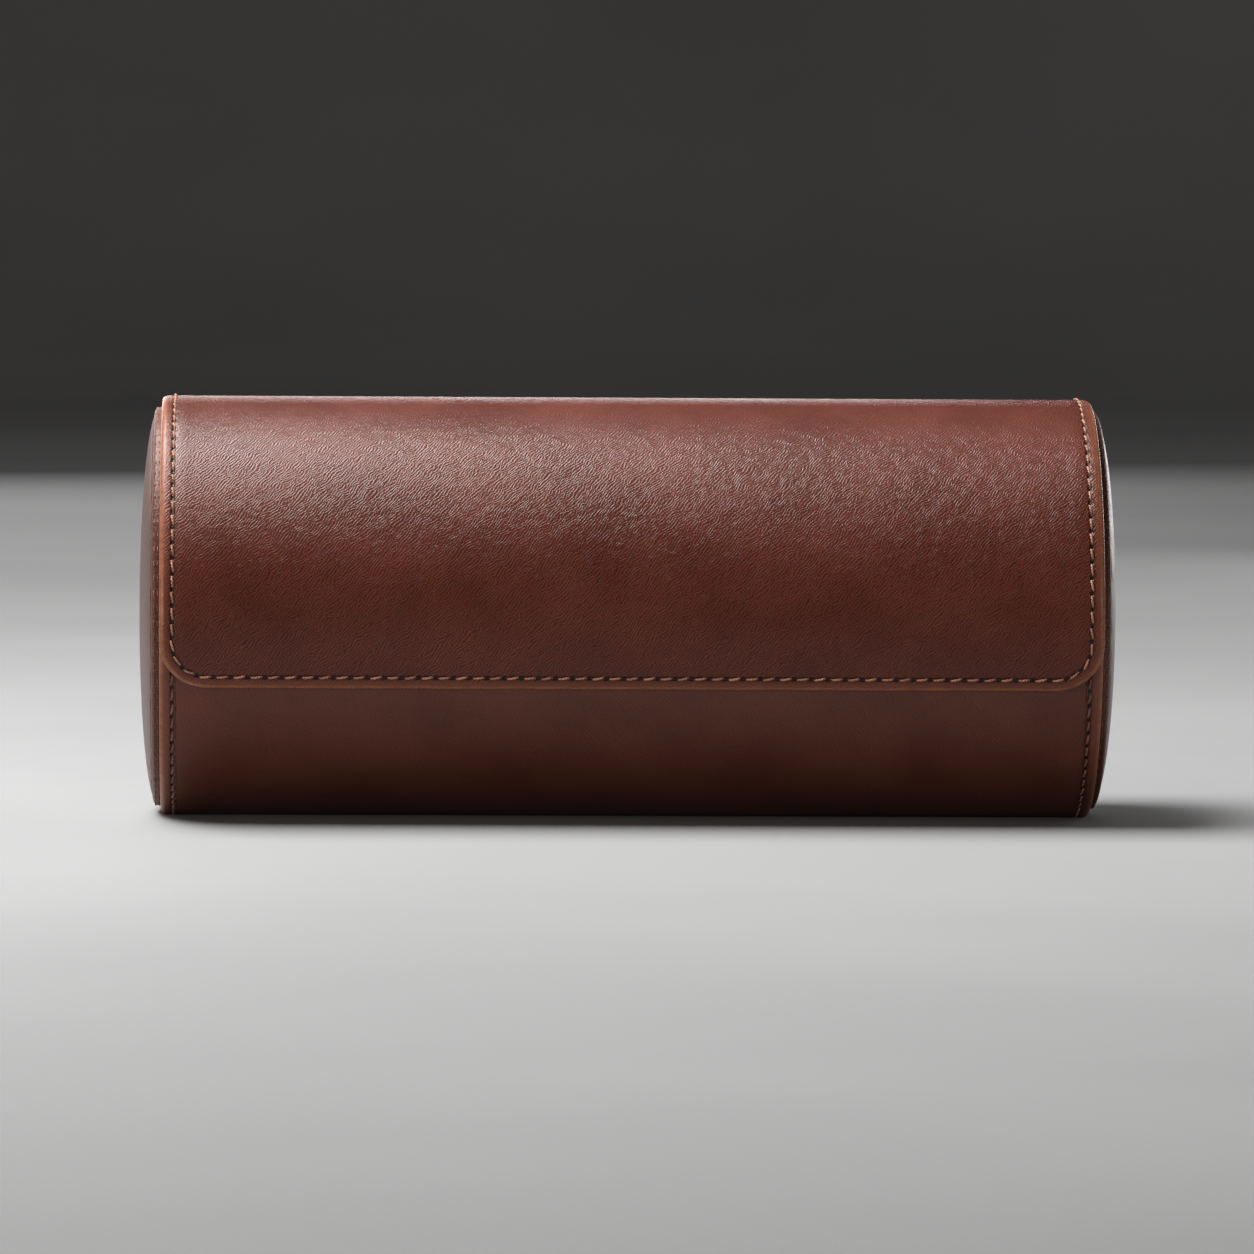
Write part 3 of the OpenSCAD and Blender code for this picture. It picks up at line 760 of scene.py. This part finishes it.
def build_end_panel(name, side):
    """The padded domed panel, slightly puckered where it is sewn in."""
    panel = []
    for i in range(41):
        share = sin(QUARTER * i / 40)
        panel.append((0.02 + (LIP_R - 0.05) * share, BAND_END + DOME_RISE * dome_height(share)))
    panel[-2:] = [(LIP_R - 0.3, BAND_END + 0.12), (LIP_R - 0.06, BAND_END - PANEL_GROOVE)]
    panel += [(radius, BAND_END - PANEL_DEPTH) for radius in (LIP_R - 0.05, 0.5 * LIP_R, 0.02)]

    def pucker(radius, angles):
        near = math.exp(-((LIP_R - radius) / PUCKER_REACH) ** 2)
        waves = [noise.noise(Vector((cos(a) * PUCKERS, sin(a) * PUCKERS, side * 5.0)))
                 for a in np.radians(angles)]
        return PUCKER_HEIGHT * near * np.array(waves)

    cover = lathe("end_panel_" + name, panel, side, end_leather, ripple=pucker)
    settle(cover, "case", "end_leather", "end_cover_" + name, "end_pad_" + name)


def build_end_strip(name, side):
    """The leather strip around the end, rolled over its rim, with its two rows of stitches."""
    rim = []
    for i in range(13):
        a = QUARTER * i / 12
        rim.append((LIP_R + RIM_ROUND_IN * cos(a), BAND_END - RIM_ROUND_OUT * (1 - sin(a))))
    band = [(BOARD_R, BOARD_X), (BAND_R, BOARD_X), (BAND_R, WRAP_END - 1.5), (BAND_R, WRAP_END - 0.4)]
    band += rim[:-1] + [(LIP_R + 0.1, BAND_END - 0.05), (LIP_R + 0.02, BAND_END - PANEL_GROOVE),
                        (LIP_R + 0.02, BAND_END - PANEL_DEPTH), (BOARD_R, BAND_END - RIM_ROUND_OUT)]
    strip = lathe("end_strip_" + name, band, side, band_leather, closed=True)
    settle(strip, "case", "band_leather", "end_band_" + name)
    inset = 1 - RIM_STITCH_INSET / RIM_ROUND_OUT
    rim_r = LIP_R + RIM_ROUND_IN * sqrt(1 - inset ** 2)
    tilt = math.atan2(RIM_ROUND_IN * inset, RIM_ROUND_OUT * sqrt(1 - inset ** 2))
    rim_lay = ring_lay(rim_r, BAND_END - RIM_STITCH_INSET, tilt, side)
    # The rim's and the seam's stitches take the thread with painted shade
    rim_row = stitches("rim_stitches_" + name, ring_places(rim_r), rim_lay, 1.0, 0.15, 0.04, painted_shade_thread)
    settle(rim_row, "case", "thread", "end_thread_" + name)
    seam_lay = ring_lay(BAND_R, WRAP_END + SEAM_STITCH_GAP, 0, side)
    seam_row = stitches("seam_stitches_" + name, ring_places(BAND_R), seam_lay, 1.0, 0.14, 0.0, painted_shade_thread)
    settle(seam_row, "case", "thread")


# The linings inside the case and the flap

RAISED_START = LIP + math.degrees(BINDING_THICK / ROLL_R) + 2.0
RAISED_STOP = HINGE - 4.0
RAISED_HALF = END_LINING_X - 0.9


def wave(points, size, amount, seed):
    """Soft unevenness, one value a point."""
    return np.array([amount * noise.noise(Vector(p) / size + Vector((seed, 0, 0))) for p in points])


def grid_faces(rows, columns):
    return [(j * columns + i, j * columns + i + 1, (j + 1) * columns + i + 1, (j + 1) * columns + i)
            for j in range(rows - 1) for i in range(columns - 1)]


def thin_slab(name, top, under, rows, columns, material, attributes=None):
    """Closes two grids of the same size into one thin solid."""
    count = rows * columns
    faces = grid_faces(rows, columns)
    faces += [tuple(reversed([v + count for v in f])) for f in faces]
    loop = list(range(columns)) + [j * columns + columns - 1 for j in range(1, rows)]
    loop += [(rows - 1) * columns + i for i in range(columns - 2, -1, -1)]
    loop += [j * columns for j in range(rows - 2, 0, -1)]
    for a, b in zip(loop, loop[1:] + loop[:1]):
        faces.append((b, a, a + count, b + count))
    return make_piece(name, np.concatenate([top, under]), faces, material, attributes)


LINING_INSETS = [0.75, 0.85, 1.05, 1.4, 2.0, 3.0, 4.2, 5.2, 5.7, 6.1, 6.5, 6.9, 7.3, 7.8, 8.6]
FIELD_CORNER = 3.0
FIELD_SLOPE = (0.1, 1.6)


def build_flap_lining():
    """The suede under the flap, with its raised padded field over the stiffener."""
    start = radians(HINGE - RAISED_STOP) * FLAP_R - 0.6
    field_end = radians(HINGE - RAISED_START) * FLAP_R - start
    field_start = radians(HINGE - RAISED_STOP) * FLAP_R - start
    sheet = Sheet(FLAP_LENGTH - start, WRAP_END, CORNER_R, 1.5,
                  fine_rows=(field_start + 0.6, field_end - 0.8), insets=LINING_INSETS)
    s, x = sheet.s, sheet.x
    side = RAISED_HALF - np.abs(x)
    ahead = np.minimum(field_end - s, s - field_start)
    rounding = np.hypot(np.clip(FIELD_CORNER - side, 0, None), np.clip(FIELD_CORNER - ahead, 0, None))
    in_corner = (side < FIELD_CORNER) & (ahead < FIELD_CORNER)
    depth_in = np.where(in_corner, FIELD_CORNER - rounding, np.minimum(side, ahead))
    rise = FLAP_BOARD_THICK * smooth_step(*FIELD_SLOPE, depth_in)
    thickness = FLAP_THICK - 0.02 + 0.1 * smooth_step(0.75, 1.2, sheet.inset)
    uneven = wave(joined(x, s, 0 * s), 9.0, 0.12, 3.0) * smooth_step(0.5, 3.0, depth_in)
    angles = HINGE - np.degrees((s + start) / FLAP_R)
    lower = on_circle(FLAP_AXIS, FLAP_R - thickness - rise + np.clip(uneven, 0, None), angles, x)
    upper = on_circle(FLAP_AXIS, FLAP_R - thickness + 0.25, angles, x)
    count = len(s)
    faces = list(sheet.faces) + [tuple(v + count for v in reversed(f)) for f in sheet.faces]
    rim = sheet.outline()
    for one, two in zip(rim, rim[1:] + rim[:1]):
        faces.append((one, two, two + count, one + count))
    lining = make_piece("flap_lining_suede", np.concatenate([lower, upper]), faces, suede)
    settle(lining, "flap", "lining_suede", "flap_lining")


def build_case_lining():
    """Suede over the inside of the case's wall."""
    angles = spaced(HINGE + 1.2, 360 + LIP, 1.5, fine_at=(HINGE + 2,), fine_step=0.4)
    xs = spaced(-BOARD_X, BOARD_X, 2.0)
    a, x = crossed(angles, xs)
    places = joined(x, np.radians(a) * INNER_R, 0 * a)
    uneven = wave(places, 12.0, 0.1, 9.0)
    top = on_circle(AXIS, INNER_R + 0.05 + np.abs(uneven), a, x)
    under = on_circle(AXIS, LINING_R, a, x)
    piece = thin_slab("case_lining_suede", top, under, len(angles), len(xs), suede)
    settle(piece, "case", "lining_suede", "case_lining")


def build_fold_lining():
    """The suede strip in the fold's channel, which joins the case's lining to the flap's."""
    route = [(156.0, INNER_R + 0.02), (154.0, INNER_R - 0.02), (152.9, INNER_R + 0.25),
             (152.2, INNER_R + 1.2), (152.0, INNER_R + 2.4), (151.6, CORE_R - 0.35),
             (150.6, CORE_R - 0.12), (149.2, CORE_R - 0.05), (147.9, CORE_R - 0.1),
             (147.0, CORE_R - 0.3), (146.5, CORE_R - 0.8)]
    fine = finer(route, 4)
    for _ in range(3):
        fine = [fine[0]] + [tuple((np.array(p) + 2 * np.array(q) + np.array(r)) / 4)
                            for p, q, r in zip(fine, fine[1:], fine[2:])] + [fine[-1]]
    xs = spaced(-END_LINING_X + 0.2, END_LINING_X - 0.2, 2.0)
    angles, radii = np.array(fine).T
    a, x = crossed(angles, xs)
    r = np.repeat(radii, len(xs))
    r = r + wave(joined(x, a, 0 * a), 6.0, 0.12, 21.0)
    top = on_circle(AXIS, r, a, x)
    under = on_circle(AXIS, r + 0.3, a, x)
    piece = thin_slab("fold_lining_suede", top, under, len(angles), len(xs), suede)
    fold_bend(piece)


def build_lip_binding():
    """A folded leather strip over the core's front edge, with a leg inside the case."""
    lip = 360 + LIP
    step = math.degrees(BINDING_THICK / ROLL_R)
    leg = math.degrees(5.0 / INNER_R)
    outline = [(lip - leg, INNER_R - 0.1), (lip - leg + 0.4, INNER_R - 0.5), (lip - 1.0, INNER_R - 0.58),
               (lip + 0.4 * step, INNER_R - 0.5), (lip + 0.8 * step, INNER_R - 0.15),
               (lip + step, INNER_R + 0.5), (lip + step, CORE_R - 0.4), (lip + step, ROLL_R - 1.1),
               (lip + 0.85 * step, ROLL_R - 0.5), (lip + 0.5 * step, ROLL_R - 0.3),
               (lip + 0.1, ROLL_R - 0.45)]
    xs = spaced(-END_LINING_X, END_LINING_X, 1.5)
    angles, radii = np.array(finer(outline, 3)).T
    a, x = crossed(angles, xs)
    r = np.repeat(radii, len(xs)) + 0.04 * np.sin(x / 2.1)
    top = on_circle(AXIS, r, a, x)
    inner_a = np.where(r < CORE_R - 1, a, a - 0.3)
    under = on_circle(AXIS, r + np.where(r < CORE_R, 0.45, -0.45), inner_a, x)
    flat = joined(x / 10, np.repeat(np.arange(len(angles)) * 0.04, len(xs)), 0 * x)
    attributes = {"flat": np.concatenate([flat, flat]), "seam": np.tile(NO_SEAM, (2 * len(x), 1))}
    piece = thin_slab("lip_strip", top, under, len(angles), len(xs), band_leather, attributes)
    settle(piece, "case", "wrap_leather", "lip_binding")


def build_end_lining(name, side):
    """A padded suede disc. It is cut back where the case's wall stands against the end board."""
    steps, rings = ROUND_STEPS, 26
    angles = np.linspace(0, 360, steps, endpoint=False)
    wall = (angles >= HINGE - 0.5) | (angles <= LIP + 2.0)
    outer = np.where(wall, INNER_R - 0.05, BOARD_R - 0.1)
    turn = np.radians(angles)
    points = []
    for j in range(rings + 1):
        share = sin(QUARTER * j / rings)
        radius = 0.05 + share * (outer - 0.05)
        puff = 0.55 * (1 - share ** 6)
        places = joined(radius * np.cos(turn), radius * np.sin(turn), 0 * turn)
        out = END_LINING_X + 0.5 - puff + 0.05 * wave(places, 7.0, 1.0, side * 4.0)
        points.append(on_circle(AXIS, radius, angles, side * out))
    points.append(on_circle(AXIS, outer, angles, side * (BOARD_X - 0.02)))
    faces = tube_faces(rings + 2, steps)
    faces += [tuple(range(steps)), tuple(range((rings + 1) * steps, (rings + 2) * steps))]
    piece = make_piece("end_lining_suede_" + name, np.concatenate(points), faces, suede)
    settle(piece, "case", "lining_suede", "end_lining_" + name)


def build_divider(name, side):
    """Suede wrapped over the divider's board, rounded along its top edge."""
    zs = spaced(-INNER_R + 0.15, DIVIDER_TOP, 1.6, fine_at=(DIVIDER_TOP,), fine_step=0.2, reach=1.6)
    columns = 40
    points = []
    half = DIVIDER_THICK / 2
    for face in (1, -1):
        for z in zs:
            wide = sqrt(max(0.04, (INNER_R - 0.03) ** 2 - z * z))
            near_top = max(0, 1 - (DIVIDER_TOP - z) / half)
            thick = half * sqrt(max(0, 1 - near_top * near_top)) - 0.12
            for i in range(columns):
                y = wide * (2 * i / (columns - 1) - 1)
                uneven = 1 + noise.noise(Vector((y / 8, z / 8, face * 3 + side)))
                soft = 0.12 * uneven * min(1, 1 - near_top)
                x = side * PITCH_X / 2 + face * max(0.02, thick + soft - 0.05)
                points.append((x, AXIS[0] + y, AXIS[1] + z))
    count = len(zs) * columns
    top, under = np.array(points[:count]), np.array(points[count:])
    piece = thin_slab("divider_suede_" + name, top, under, len(zs), columns, suede)
    settle(piece, "case", "lining_suede", "divider_cover_" + name)


# The pillows

PILLOW_HALF_W = INNER_R - 8.9
PILLOW_HIGH = RAISED_R - SHIFT - 27.0
PILLOW_LOW = 0.4 - INNER_R
PILLOW_HALF_H = (PILLOW_HIGH - PILLOW_LOW) / 2
PILLOW_Z = (PILLOW_HIGH + PILLOW_LOW) / 2
PILLOW_CROWN = 2.2
PILLOW_CLEARANCE = 0.3
PIPING_CLEARANCE = 0.28


def pillow_start():
    """The pillow before it is filled: an oval drum around the origin, in millimetres."""
    steps = 72
    outline = [(0.001, PILLOW_HALF_LEN + PILLOW_CROWN)]
    outline += [(share, PILLOW_HALF_LEN + PILLOW_CROWN * (1 - share * share))
                for share in (0.25, 0.5, 0.7, 0.85, 0.94)]
    outline += [(0.965 + 0.03 * (1 - (x / PILLOW_HALF_LEN) ** 4), x)
                for x in np.linspace(PILLOW_HALF_LEN - 0.3, -PILLOW_HALF_LEN + 0.3, 13)]
    outline += [(share, -x) for share, x in reversed(outline[:6])]
    points = []
    for share, x in outline:
        for k in range(steps):
            a = TURN * k / steps
            points.append((x, share * PILLOW_HALF_W * cos(a), share * PILLOW_HALF_H * sin(a)))
    faces = tube_faces(len(outline), steps)
    faces += [tuple(range(steps)), tuple(range(len(points) - steps, len(points)))]
    return points, faces


PILLOW_VOXEL = 3.0
PILLOW_PRESSURE = 4.0
PILLOW_SWELL = 2.4
SEAM_REACH = 3.0
FILLING_FRAMES = 20
SMOOTHING_ROUNDS = 14


def filled(obj):
    """Fills a closed form with the cloth simulation and keeps the shape that it takes, smoothed."""
    bpy.context.view_layer.objects.active = obj
    remesh = obj.modifiers.new("remesh", "REMESH")
    remesh.mode = "VOXEL"
    remesh.voxel_size = PILLOW_VOXEL * MM
    bpy.ops.object.modifier_apply(modifier=remesh.name)
    mesh = obj.data
    rest = np.array([v.co for v in mesh.vertices])
    seam = obj.vertex_groups.new(name="seam")
    for v in mesh.vertices:
        off = abs(abs(v.co.x) - PILLOW_HALF_LEN * MM)
        oval = hypot(v.co.y / PILLOW_HALF_W, v.co.z / PILLOW_HALF_H) / MM
        weight = max(0.0, 1 - off / (SEAM_REACH * MM)) * (1.0 if oval > 0.85 else 0.0)
        seam.add([v.index], weight, "REPLACE")
    cloth = obj.modifiers.new("cloth", "CLOTH")
    settings = cloth.settings
    settings.quality = 5
    settings.mass = 0.3
    settings.tension_stiffness = 18
    settings.compression_stiffness = 12
    settings.shear_stiffness = 6
    settings.bending_stiffness = 0.35
    settings.shrink_min = -0.05
    settings.use_pressure = True
    settings.uniform_pressure_force = PILLOW_PRESSURE
    settings.effector_weights.gravity = 0
    settings.vertex_group_mass = "seam"
    settings.pin_stiffness = 0.6
    scene = bpy.context.scene
    for step in range(1, FILLING_FRAMES + 1):
        scene.frame_set(step)
    depsgraph = bpy.context.evaluated_depsgraph_get()
    swollen = np.array([v.co for v in obj.evaluated_get(depsgraph).data.vertices])
    obj.modifiers.remove(cloth)
    scene.frame_set(1)
    moved = swollen - rest
    ends = np.array([e.vertices for e in mesh.edges])
    degree = np.bincount(ends.ravel(), minlength=len(rest))[:, None]
    for _ in range(SMOOTHING_ROUNDS):
        total = np.zeros_like(moved)
        np.add.at(total, ends[:, 0], moved[ends[:, 1]])
        np.add.at(total, ends[:, 1], moved[ends[:, 0]])
        moved = 0.5 * moved + 0.5 * total / degree
    length = np.linalg.norm(moved, axis=1, keepdims=True)
    moved *= np.minimum(1, PILLOW_SWELL * MM / np.maximum(length, 1e-9))
    mesh.vertices.foreach_set("co", (rest + moved).astype(np.float32).ravel())
    mesh.update()
    subdivide = obj.modifiers.new("subdivision", "SUBSURF")
    subdivide.levels = 1
    subdivide.render_levels = 1
    bpy.ops.object.modifier_apply(modifier=subdivide.name)


def build_pillows():
    points, faces = pillow_start()
    base = make_piece("pillow_form", points, faces, pillow_suede)
    filled(base)
    shape = np.array([v.co for v in base.data.vertices]) / MM
    polygons = [tuple(p.vertices) for p in base.data.polygons]
    bpy.data.objects.remove(base)
    for name, place in PLACES.items():
        soft = wave(shape, 11.0, 0.45, place * 7.0 + 2.0)
        spread = 1 + soft / 30.0
        puffed = shape * joined(1 + 0 * spread, spread, spread)
        radial = puffed[:, 1:] + (0, PILLOW_Z)
        reach = np.linalg.norm(radial, axis=1)
        limit = INNER_R - PILLOW_CLEARANCE
        radial *= np.where(reach > limit, limit / np.maximum(reach, 1e-6), 1)[:, None]
        x = np.clip(puffed[:, 0], -PILLOW_HALF_LEN - 3.2, PILLOW_HALF_LEN + 3.2)
        placed = np.column_stack([x + place * PITCH_X, radial + AXIS])
        body = "pillow_" + name
        piece = make_piece("pillow_cushion_" + name, placed, polygons, pillow_suede)
        nodes = [kind + name for kind in ("pillow_core_", "pillow_sleeve_", "pillow_ends_")]
        settle(piece, body, "pillow_suede", *nodes)
        build_piping(name, body, np.column_stack([x, radial]), place)


def rim_path(cushion, end, steps):
    """The line around a cushion where its side turns into its end panel."""
    off = cushion[:, 1:] - (0, PILLOW_Z)
    angles = np.arctan2(off[:, 1], off[:, 0])
    outward = end * cushion[:, 0] + np.linalg.norm(off, axis=1)
    path = []
    for i in range(steps):
        apart = np.abs(np.angle(np.exp(1j * (angles - TURN * i / steps))))
        near = np.flatnonzero(apart < 1.2 * TURN / steps)
        path.append(cushion[near[np.argmax(outward[near])]])
    path = np.array(path)
    for _ in range(10):
        path = (np.roll(path, 1, axis=0) + 2 * path + np.roll(path, -1, axis=0)) / 4
    return path


def build_piping(name, body, cushion, place):
    """The rolled seams where the pillow's sleeve meets its end panels."""
    steps, sides, thick = 120, 8, 0.6
    points, faces, flat = [], [], []
    for end in (-1, 1):
        first = len(points)
        path = rim_path(cushion, end, steps)
        for i, middle in enumerate(path):
            out = np.array([0, middle[1], middle[2] - PILLOW_Z])
            out /= np.linalg.norm(out)
            for k in range(sides):
                b = TURN * k / sides
                beside = np.array([end * (0.2 + thick * sin(b)), 0, 0])
                spot = middle + out * thick * cos(b) + beside
                reach = hypot(spot[1], spot[2])
                spot[1:] *= min(1, (INNER_R - PIPING_CLEARANCE) / reach)
                points.append(spot + (place * PITCH_X, *AXIS))
                flat.append((i * 0.15, b / 10, 0))
        faces += tube_faces(steps, sides, first, closed=True)
    seam = np.tile(NO_SEAM, (len(points), 1))
    piece = make_piece("pillow_piping_" + name, points, faces, band_leather, {"flat": flat, "seam": seam})
    settle(piece, body, "band_leather")


# Hidden hard pieces keep their CAD shape

def finish_nodes():
    boards = ("case_core", "flap_board", "end_board_left", "end_board_right", "divider_board_left",
              "divider_board_right")
    finishes = [(node, fibre_board) for node in boards]
    finishes += [(node, steel) for node in ("case_magnets", "flap_keepers")]
    for node, material in finishes:
        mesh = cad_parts[node].data
        mesh.materials.clear()
        mesh.materials.append(material)


# Camera, floor and light

CAMERA_AZIMUTH = radians(-2.014)
CAMERA_ELEVATION = radians(3.0)
CAMERA_ROLL = radians(0.348)
CAMERA_DISTANCE = 2000.0
FOCAL_PIXELS = 9497.7
PICTURE_PIXELS = 1254
SENSOR_WIDTH = 36.0


def camera():
    target = Vector((0.357, 0, AXIS[1] - 3.9))
    level_share = cos(CAMERA_ELEVATION)
    back = Vector((sin(CAMERA_AZIMUTH) * level_share, -cos(CAMERA_AZIMUTH) * level_share,
                   sin(CAMERA_ELEVATION)))
    level = Vector((cos(CAMERA_AZIMUTH), sin(CAMERA_AZIMUTH), 0))
    upright = back.cross(level)
    right = level * cos(CAMERA_ROLL) + upright * sin(CAMERA_ROLL)
    up = upright * cos(CAMERA_ROLL) - level * sin(CAMERA_ROLL)
    data = bpy.data.cameras.new("camera")
    data.sensor_width = SENSOR_WIDTH
    data.lens = FOCAL_PIXELS * SENSOR_WIDTH / PICTURE_PIXELS
    data.clip_start = 0.1
    data.clip_end = 20
    obj = linked("camera", data)
    facing = Matrix((right, up, back)).transposed().to_4x4()
    obj.matrix_world = Matrix.Translation((target + CAMERA_DISTANCE * back) * MM) @ facing
    bpy.context.scene.camera = obj


def floor():
    """A wide pale floor, with a rim that curves up all around, far behind every view."""
    material, tree, shader = new_material("pale_floor")
    place = add(tree, "TexCoord").outputs["Object"]
    tone = ramp(tree, cloud(tree, place, 3.0, 3.0), 0.3, 0.7, 0.23, 0.26)
    tree.links.new(grey(tree, tone), shader.inputs["Base Color"])
    shader.inputs["Roughness"].default_value = 0.8
    flat, bend, height, steps = 3000.0, 900.0, 1800.0, 96
    profile = [(radius, 0) for radius in (60, 300, 900, 1800, flat)]
    profile += [(flat + bend * sin(a), bend - bend * cos(a))
                for a in np.linspace(0.12, QUARTER, 12)]
    profile.append((flat + bend, height))
    points = [(0, 0, 0)] + [(radius * cos(TURN * k / steps), radius * sin(TURN * k / steps), z)
                            for radius, z in profile for k in range(steps)]
    faces = [(0, 1 + k, 1 + (k + 1) % steps) for k in range(steps)]
    faces += [(a, d, c, b) for a, b, c, d in tube_faces(len(profile), steps, 1)]
    make_piece("floor", points, faces, material)


WARM_WHITE = (1.0, 0.94, 0.88)


def soft_light(name, place, aim, size, power, colour=(1, 1, 1)):
    data = bpy.data.lights.new(name, "AREA")
    data.shape = "RECTANGLE"
    data.size, data.size_y = size
    data.energy = power
    data.color = colour
    obj = linked(name, data)
    obj.location = place
    obj.rotation_mode = "QUATERNION"
    obj.rotation_quaternion = (Vector(aim) - Vector(place)).to_track_quat("-Z", "Y")
    obj.visible_camera = False


def lights():
    soft_light("overhead_box", (-0.37, 0.08, 0.92), (-0.05, 0.02, 0.05), (0.9, 0.5), 27.5)
    soft_light("back_strip", (-0.70, 1.7, 0.42), (-0.1, 0, 0.06), (1.9, 0.3), 8.2)
    soft_light("left_fill", (-1.5, -1.3, 0.30), (0, 0, 0.04), (0.7, 0.5), 10, WARM_WHITE)
    soft_light("right_fill", (1.5, -1.3, 0.26), (0, 0, 0.04), (0.7, 0.4), 4.5, WARM_WHITE)
    soft_light("right_rim", (0.65, 1.1, 0.14), (0.1, 0, 0.04), (0.6, 0.2), 2.0)
    world = bpy.data.worlds.new("studio")
    world.use_nodes = True
    background = world.node_tree.nodes["Background"]
    background.inputs["Color"].default_value = (1.0, 0.95, 0.93, 1)
    background.inputs["Strength"].default_value = 0.1
    bpy.context.scene.world = world
    bpy.context.scene.view_settings.view_transform = "Standard"


camera()
build_wrap()
for side_name, side_sign in SIDES.items():
    build_end_panel(side_name, side_sign)
    build_end_strip(side_name, side_sign)
    build_end_lining(side_name, side_sign)
    build_divider(side_name, side_sign)
build_flap_lining()
build_case_lining()
build_fold_lining()
build_lip_binding()
build_pillows()
finish_nodes()
floor()
lights()
